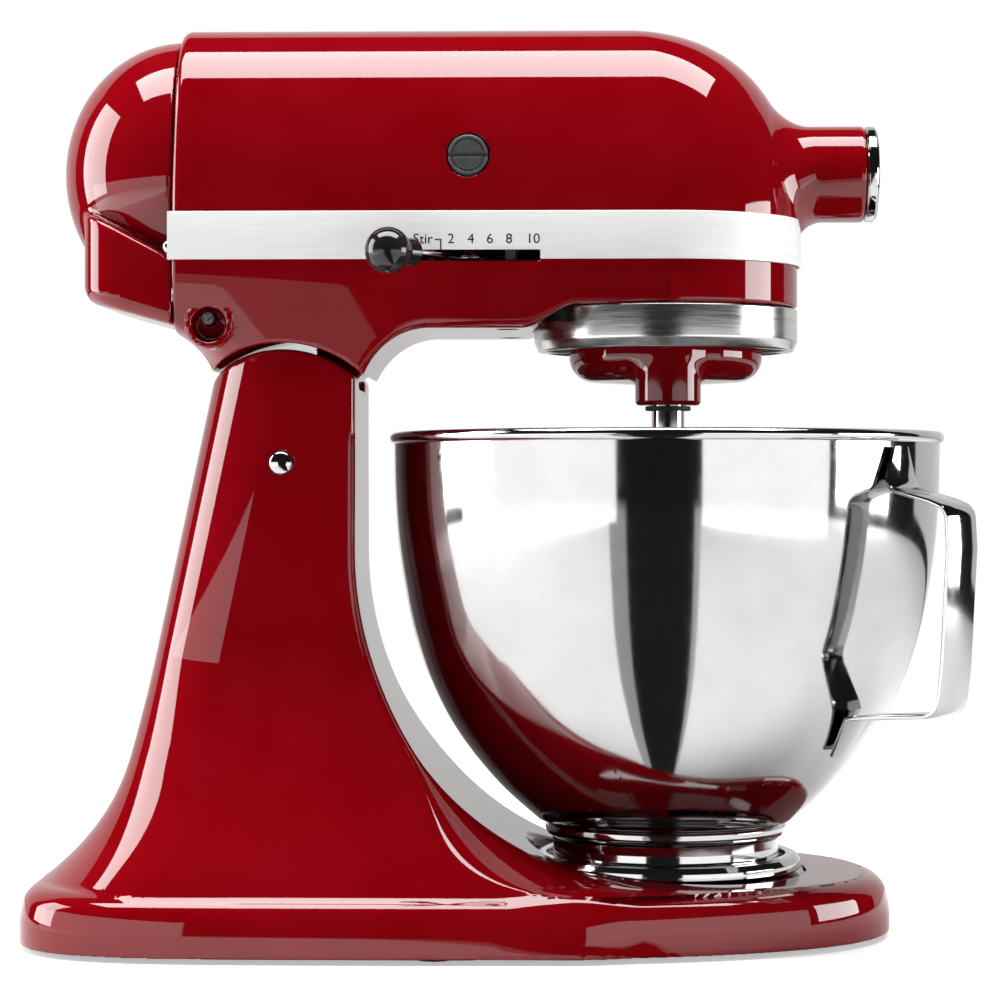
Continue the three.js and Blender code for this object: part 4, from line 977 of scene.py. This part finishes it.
def flat_beater(p):
    """A flat frame with a stem, three ribs and a collar that locks on the agitator shaft's pin."""
    x, y, z = p[:, 0] - BOWL_X, p[:, 1] - AGITATOR[1], p[:, 2]
    outside = even(beater_leaf, p)
    edge = np.abs(outside + 4) - 4
    stem = common(np.abs(x) - 5, np.abs(z - 103) - 49)
    made = union(edge, common(stem, outside), 5)
    for level in (78, 102, 126):
        rib = common(np.abs(z - level + 0.12 * np.abs(x)) - 3.5, outside + 2)
        made = union(made, rib, 3)
    made = common(made, np.abs(y) - 4.8, 2.4)
    made = union(made, bar(p, 2, AGITATOR, 10.5, 147, 196, 1.5), 3)
    made = without(made, bar(p, 2, AGITATOR, 6.6, 164.7, 200), 0.5)
    low = (AGITATOR[0] - 13, AGITATOR[1] - 2.6, 172)
    high = (AGITATOR[0] + 13, AGITATOR[1] + 2.6, 199)
    return without(made, block(p, low, high), 0.5)


def inlet_bush(p):
    """The rubber sleeve and collar that line the cord's hole."""
    bush = union(bar(p, 1, CORD_INLET, 5, 42, 49, 0.4), bar(p, 1, CORD_INLET, 7.5, 48.3, 52, 1.6), 0.4)
    return without(bush, bar(p, 1, CORD_INLET, 3.2, 30, 60), 0.9)


def on_side(side, low, high):
    """A box on the far side, or its mirror image on the near side, where side is -1."""
    near, far = sorted((side * low[1], side * high[1]))
    return (low[0], near, low[2]), (high[0], far, high[2])


CAP_BOX = (-16, 44, 292), (0, 51.2, 308)
LEVER_BOX = (-40, 28, 258), (0, 78, 266)
KNOB_BOX = (-47, 60, 252), (-26, 85, 272)
SCREW_BOX = (122, 9, 285), (146, 33, 310)
BEATER_BOX = (12, -42, 53), (123, -18, 197)
INLET_BOX = (-141, 41, 246), (-125, 53, 262)

SMALL = [
    ("brush_cap_near", brush_cap, on_side(-1, *CAP_BOX), 0.32, "head", "grey_plastic", "brush_cap_1"),
    ("brush_cap_far", brush_cap, on_side(1, *CAP_BOX), 0.32, "head", "grey_plastic", "brush_cap_2"),
    ("speed_lever", lever_arm(-1), on_side(-1, *LEVER_BOX), 0.4,
     "speed_control", "polished_steel", "speed_lever"),
    ("speed_knob", knob(-1), on_side(-1, *KNOB_BOX), 0.4, "speed_control", "black_plastic", "speed_knob"),
    ("lock_lever", lever_arm(1), on_side(1, *LEVER_BOX), 0.4, "lock_control", "polished_steel", "lock_lever"),
    ("lock_knob", knob(1), on_side(1, *KNOB_BOX), 0.4, "lock_control", "black_plastic", "lock_knob"),
    ("hub_knob", thumb_screw, SCREW_BOX, 0.45, "hub_screw", "black_plastic", "hub_knob"),
    ("flat_beater", flat_beater, BEATER_BOX, 0.8, "agitator", "burnished_aluminium", "flat_beater"),
    ("cord_inlet", inlet_bush, INLET_BOX, 0.4, "head", "rubber", "cord_inlet_bush"),
]


# ------------ the speed scale
SCALE_MARKS = [("Stir", -25.3), ("2", -14.7), ("4", -7.2), ("6", 0.0), ("8", 7.2), ("10", 16.3)]
SCALE_SIZE, SCALE_Z = 5.3, 267.9
SCALE_Y = -HEAD_HALF - 1.42
SCALE_DEEP = 0.05
# The bracket between the word and the 2: its upright and its top, as start, end, low and high.
SCALE_BRACKET = [(-18.3, -18.8, 264, 268), (-18.3, -20.8, 267.5, 268)]


def printed(words, x):
    curve = bpy.data.curves.new("figure", "FONT")
    curve.body = words
    curve.size = SCALE_SIZE * MM
    curve.align_x, curve.align_y = "CENTER", "CENTER"
    curve.extrude = SCALE_DEEP * MM
    made = linked("figure", curve)
    made.rotation_euler = (TURN / 4, 0, 0)
    made.location = Vector((x, SCALE_Y, SCALE_Z)) * MM
    return made


def bracket_line(start, end, low, high):
    y = SCALE_Y + 0.04
    section = [(-SCALE_DEEP, low), (SCALE_DEEP, low), (SCALE_DEEP, high), (-SCALE_DEEP, high)]
    return swept("tick", [(start, y), (end, y)], section)


def speed_scale():
    """Printed figures that stand a twentieth of a millimetre proud of the band."""
    pieces = [printed(words, x) for words, x in SCALE_MARKS]
    made = pieces[0]
    bpy.context.view_layer.update()
    with selected(*pieces):
        bpy.ops.object.convert(target="MESH")
    joined_to(made, pieces[1:] + [bracket_line(*line) for line in SCALE_BRACKET])
    made.name = "speed_scale_visual"
    made.data.transform(made.matrix_world)
    made.matrix_world = Matrix.Identity(4)
    finish_piece(made, "head", "black_plastic", [])


# ------------ materials
def nodes_of(name):
    made = bpy.data.materials.new(name)
    made.use_nodes = True
    tree = made.node_tree
    return made, tree, tree.nodes["Principled BSDF"]


def noise(tree, scale, detail, stretch=None):
    """A noise in the piece's own coordinates, drawn out along the axes in stretch."""
    where = tree.nodes.new("ShaderNodeTexCoord")
    spread = tree.nodes.new("ShaderNodeMapping")
    spread.inputs["Scale"].default_value = stretch or (1, 1, 1)
    made = tree.nodes.new("ShaderNodeTexNoise")
    made.inputs["Scale"].default_value = scale
    made.inputs["Detail"].default_value = detail
    made.inputs["Roughness"].default_value = 0.5
    tree.links.new(where.outputs["Object"], spread.inputs["Vector"])
    tree.links.new(spread.outputs["Vector"], made.inputs["Vector"])
    return made


RANGE = (0.3, 0.7)  # where nearly all of a noise's values lie


def between(tree, source, low, high):
    """A noise spread between two values, numbers or colours."""
    made = tree.nodes.new("ShaderNodeValToRGB")
    colours = [(v, v, v) if isinstance(v, (int, float)) else v for v in (low, high)]
    for element, place, value in zip(made.color_ramp.elements, RANGE, colours):
        element.position = place
        element.color = (*value, 1)
    tree.links.new(source.outputs[0], made.inputs[0])
    return made


def surface(name, low, high, metallic, rough, grain, bump, bump_grain=None, stretch=None):
    """A finish whose colour and roughness wander between two values, with a fine bump."""
    made, tree, shader = nodes_of(name)
    colour = between(tree, noise(tree, grain, 4, stretch), low, high)
    roughness = between(tree, noise(tree, grain * 3.1, 3, stretch), *rough)
    lift = tree.nodes.new("ShaderNodeBump")
    lift.inputs["Strength"].default_value = 1.0
    lift.inputs["Distance"].default_value = bump * MM
    tree.links.new(noise(tree, bump_grain or grain * 4, 2, stretch).outputs[0], lift.inputs["Height"])
    for made_by, socket in ((colour, "Base Color"), (roughness, "Roughness"), (lift, "Normal")):
        tree.links.new(made_by.outputs[0], shader.inputs[socket])
    shader.inputs["Metallic"].default_value = metallic
    return made


ROUND_THE_HEAD = (0.4, 0.4, 14)  # a brushed grain runs level, so its noise changes fastest upwards

# Each finish: two colours or greys, metallic, two roughnesses, noise scale and bump in millimetres,
# then where needed the bump's own noise scale and the stretch of the noises.
RECIPES = {
    "enamel": ((0.165, 0.0, 0.002), (0.185, 0.001, 0.004), 0, (0.02, 0.035), 40, 0.0006, 220),
    "polished_steel": ((0.47, 0.47, 0.475), 0.51, 1, (0.06, 0.09), 60, 0.0004, 400),
    "brushed_steel": (0.55, (0.64, 0.64, 0.63), 1, (0.16, 0.26), 60, 0.002, 200, ROUND_THE_HEAD),
    "satin_aluminium": (0.76, (0.82, 0.82, 0.81), 0.1, (0.28, 0.36), 80, 0.001, 240, (0.5, 0.5, 12)),
    "burnished_aluminium": (0.6, (0.72, 0.72, 0.71), 1, (0.3, 0.45), 300, 0.01),
    "black_plastic": ((0.006, 0.006, 0.007), 0.012, 0, (0.08, 0.14), 120, 0.0008),
    "grey_plastic": ((0.035, 0.038, 0.04), (0.06, 0.062, 0.066), 0, (0.35, 0.5), 500, 0.006),
    "rubber": ((0.012, 0.012, 0.013), (0.028, 0.028, 0.03), 0, (0.6, 0.8), 400, 0.01),
    "carbon": (0.02, 0.05, 0, (0.5, 0.7), 900, 0.01),
    "motor_metal": ((0.28, 0.13, 0.07), (0.42, 0.2, 0.1), 0.9, (0.3, 0.5), 500, 0.02, 2000, (5, 1, 1)),
    "nylon": ((0.6, 0.56, 0.46), (0.72, 0.69, 0.6), 0, (0.35, 0.5), 300, 0.004),
    "cast_metal": ((0.4, 0.4, 0.41), (0.55, 0.55, 0.56), 0.9, (0.4, 0.6), 600, 0.02),
    "plain_steel": (0.42, (0.56, 0.56, 0.55), 1, (0.2, 0.34), 250, 0.004),
}
FINISHES = {name: surface(name, *recipe) for name, recipe in RECIPES.items()}
FINISHES["enamel"].node_tree.nodes["Principled BSDF"].inputs["IOR"].default_value = 1.52


def finish_piece(made, body, finish, stands_for):
    """Gives a piece its finish and the body that it moves with, and hides the CAD nodes it stands for."""
    made.data.materials.clear()
    made.data.materials.append(FINISHES[finish])
    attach(made, body)
    if stands_for:
        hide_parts(*stands_for)


def finish_cad():
    """Gives every node that is carried over its own slot's finish, and smooth round faces."""
    slots = {part["node"]: part["material_slot"] for part in frame["record"]["subparts"]}
    for name, made in frame["nodes"].items():
        made.data.materials.clear()
        made.data.materials.append(FINISHES[slots[name]])
        if not made.hide_render:
            shade_smooth(made, SHARP)


# ------------ stage, lights and camera
FLOOR_COLOUR = 0.76
FLOOR_GLOW = 0.45
FLOOR_REACH = 1600
FLOOR_APEX = (66, -50)  # the floor's sectors meet here, in front of the bowl
# Each sector: its name, two bearings from straight ahead, positive to +X, and its painted reflection.
# A painted reflection is a fixed glow that polished pieces mirror in place of the lit floor; None keeps the
# floor.
FLOOR_SECTORS = [
    ("floor", 12.5, 335, None),
    # Painted reflections: polished pieces see a fixed dark band straight ahead of the bowl and dim floor
    # beside it.
    ("floor_painted_dim_reflection_left", -25, -18, 0.55),
    ("floor_painted_dark_reflection", -18, 10, 0.02),
    ("floor_painted_dim_reflection_right", 10, 12.5, 0.7),
]


def chosen_by(tree, chooser, usual, chosen):
    """A shader that is one of two, by a Light Path output."""
    mix = tree.nodes.new("ShaderNodeMixShader")
    tree.links.new(chooser, mix.inputs[0])
    tree.links.new(usual.outputs[0], mix.inputs[1])
    tree.links.new(chosen.outputs[0], mix.inputs[2])
    return mix


def glowing(tree, shader, glow):
    """A shader with a glow added to it."""
    light = tree.nodes.new("ShaderNodeEmission")
    light.inputs["Strength"].default_value = glow
    total = tree.nodes.new("ShaderNodeAddShader")
    tree.links.new(shader.outputs[0], total.inputs[0])
    tree.links.new(light.outputs[0], total.inputs[1])
    return total


def stage_material(name, painted_reflection):
    """A pale matt floor, lifted to white in view; polished pieces mirror any painted reflection given."""
    made, tree, shader = nodes_of(name)
    colour = between(tree, noise(tree, 1.5, 2), FLOOR_COLOUR * 0.99, FLOOR_COLOUR)
    tree.links.new(colour.outputs[0], shader.inputs["Base Color"])
    shader.inputs["Roughness"].default_value = 0.9
    shader.inputs["Specular IOR Level"].default_value = 0.0
    path = tree.nodes.new("ShaderNodeLightPath")
    result = chosen_by(tree, path.outputs["Is Camera Ray"], shader, glowing(tree, shader, FLOOR_GLOW))
    if painted_reflection is not None:
        # Painted reflection: glossy rays see this fixed glow in place of the lit floor.
        reflection_glow = tree.nodes.new("ShaderNodeEmission")
        reflection_glow.inputs["Strength"].default_value = painted_reflection
        result = chosen_by(tree, path.outputs["Is Glossy Ray"], result, reflection_glow)
    tree.links.new(result.outputs[0], tree.nodes["Material Output"].inputs["Surface"])
    return made


def floor_sector(name, start, end, painted_reflection):
    """The part of the floor's disc between two bearings from the apex."""
    steps = max(4, int(abs(end - start) / 3))
    ax, ay = FLOOR_APEX
    points = [(ax, ay, 0)]
    for i in range(steps + 1):
        bearing = math.radians(start + (end - start) * i / steps)
        dx, dy = math.sin(bearing), -math.cos(bearing)
        along = ax * dx + ay * dy
        reach = -along + math.sqrt(along**2 - ax**2 - ay**2 + FLOOR_REACH**2)
        points.append((ax + reach * dx, ay + reach * dy, 0))
    made = mesh_of(name, points, [[0, i, i + 1] for i in range(1, steps + 1)])
    made.data.materials.append(stage_material(name, painted_reflection))
    made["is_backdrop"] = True


# Each panel of light, in metres: its name, place, aim, width, height and radiance.
PANELS = [
    ("overhead", (0.0, -0.19, 1.42), (0.0, -0.19, 0.3), 1.7, 0.62, 12.5),
    ("left", (-1.5, 0.02, 0.68), (0.0, 0.0, 0.5), 0.8, 1.26, 9.0),
    ("right", (1.55, -0.12, 0.27), (0.0, 0.0, 0.27), 0.8, 0.44, 10.0),
    ("backdrop", (0.0, 1.6, 1.1), (0.0, 0.0, 1.1), 5.0, 2.2, 0.75),
    ("card_right", (0.672, -0.769, 0.125), (0.07, -0.1, 0.125), 0.98, 0.25, 1.85),
    ("card_left", (-0.71, -0.55, 0.125), (0.07, -0.1, 0.125), 1.36, 0.25, 1.85),
]


def panel(name, place, aim, wide, high, radiance):
    """A soft rectangular light of an even radiance."""
    data = bpy.data.lights.new(name, "AREA")
    data.shape = "RECTANGLE"
    data.size, data.size_y = wide, high
    data.energy = radiance * math.pi * wide * high
    made = linked(name, data)
    made.location = place
    made.rotation_euler = (Vector(aim) - Vector(place)).to_track_quat("-Z", "Y").to_euler()
    made.visible_camera = False


WORLD_LIGHT, WORLD_SEEN = 0.015, 1.0


def studio():
    """A white background that gives the object almost no light."""
    world = bpy.data.worlds.new("studio")
    bpy.context.scene.world = world
    world.use_nodes = True
    tree = world.node_tree
    light = tree.nodes["Background"]
    seen = tree.nodes.new("ShaderNodeBackground")
    for background, strength in ((light, WORLD_LIGHT), (seen, WORLD_SEEN)):
        background.inputs["Color"].default_value = (1, 1, 1, 1)
        background.inputs["Strength"].default_value = strength
    path = tree.nodes.new("ShaderNodeLightPath")
    both = chosen_by(tree, path.outputs["Is Camera Ray"], light, seen)
    tree.links.new(both.outputs[0], tree.nodes["World Output"].inputs["Surface"])


# The camera looks level at the middle of the object, from a little round to the front. In metres.
CAMERA_TURN, CAMERA_FAR, CAMERA_HIGH = math.radians(1.4), 1.15, 0.1733
CAMERA_MIDDLE = 0.0025
CAMERA_LENS, CAMERA_SHIFT = 104.8, -0.01


def camera():
    data = bpy.data.cameras.new("camera")
    data.sensor_width = 36
    data.lens = CAMERA_LENS
    data.shift_y = CAMERA_SHIFT
    data.clip_end = 20
    made = linked("camera", data)
    across, away = math.sin(CAMERA_TURN), math.cos(CAMERA_TURN)
    made.location = (CAMERA_MIDDLE + CAMERA_FAR * across, -CAMERA_FAR * away, CAMERA_HIGH)
    made.rotation_euler = (TURN / 4, 0, CAMERA_TURN)
    bpy.context.scene.camera = made


def build():
    camera()
    for light in PANELS:
        panel(*light)
    studio()
    for sector in FLOOR_SECTORS:
        floor_sector(*sector)
    build_fields(CASTINGS, 1)
    bowl_shell()
    bowl_foot()
    bowl_handle()
    clamp_plate()
    drip_ring()
    trim_band()
    hub_cap()
    hinge_pin()
    agitator_shaft()
    shaft_washer()
    build_fields(SMALL)
    trim_band_screw()
    speed_scale()
    finish_cad()
    bpy.context.scene.view_settings.view_transform = "Standard"


build()
corners = {"cad": CAD_BOX, "visual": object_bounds()}
{name: [[float(c) for c in corner] for corner in box] for name, box in corners.items()}
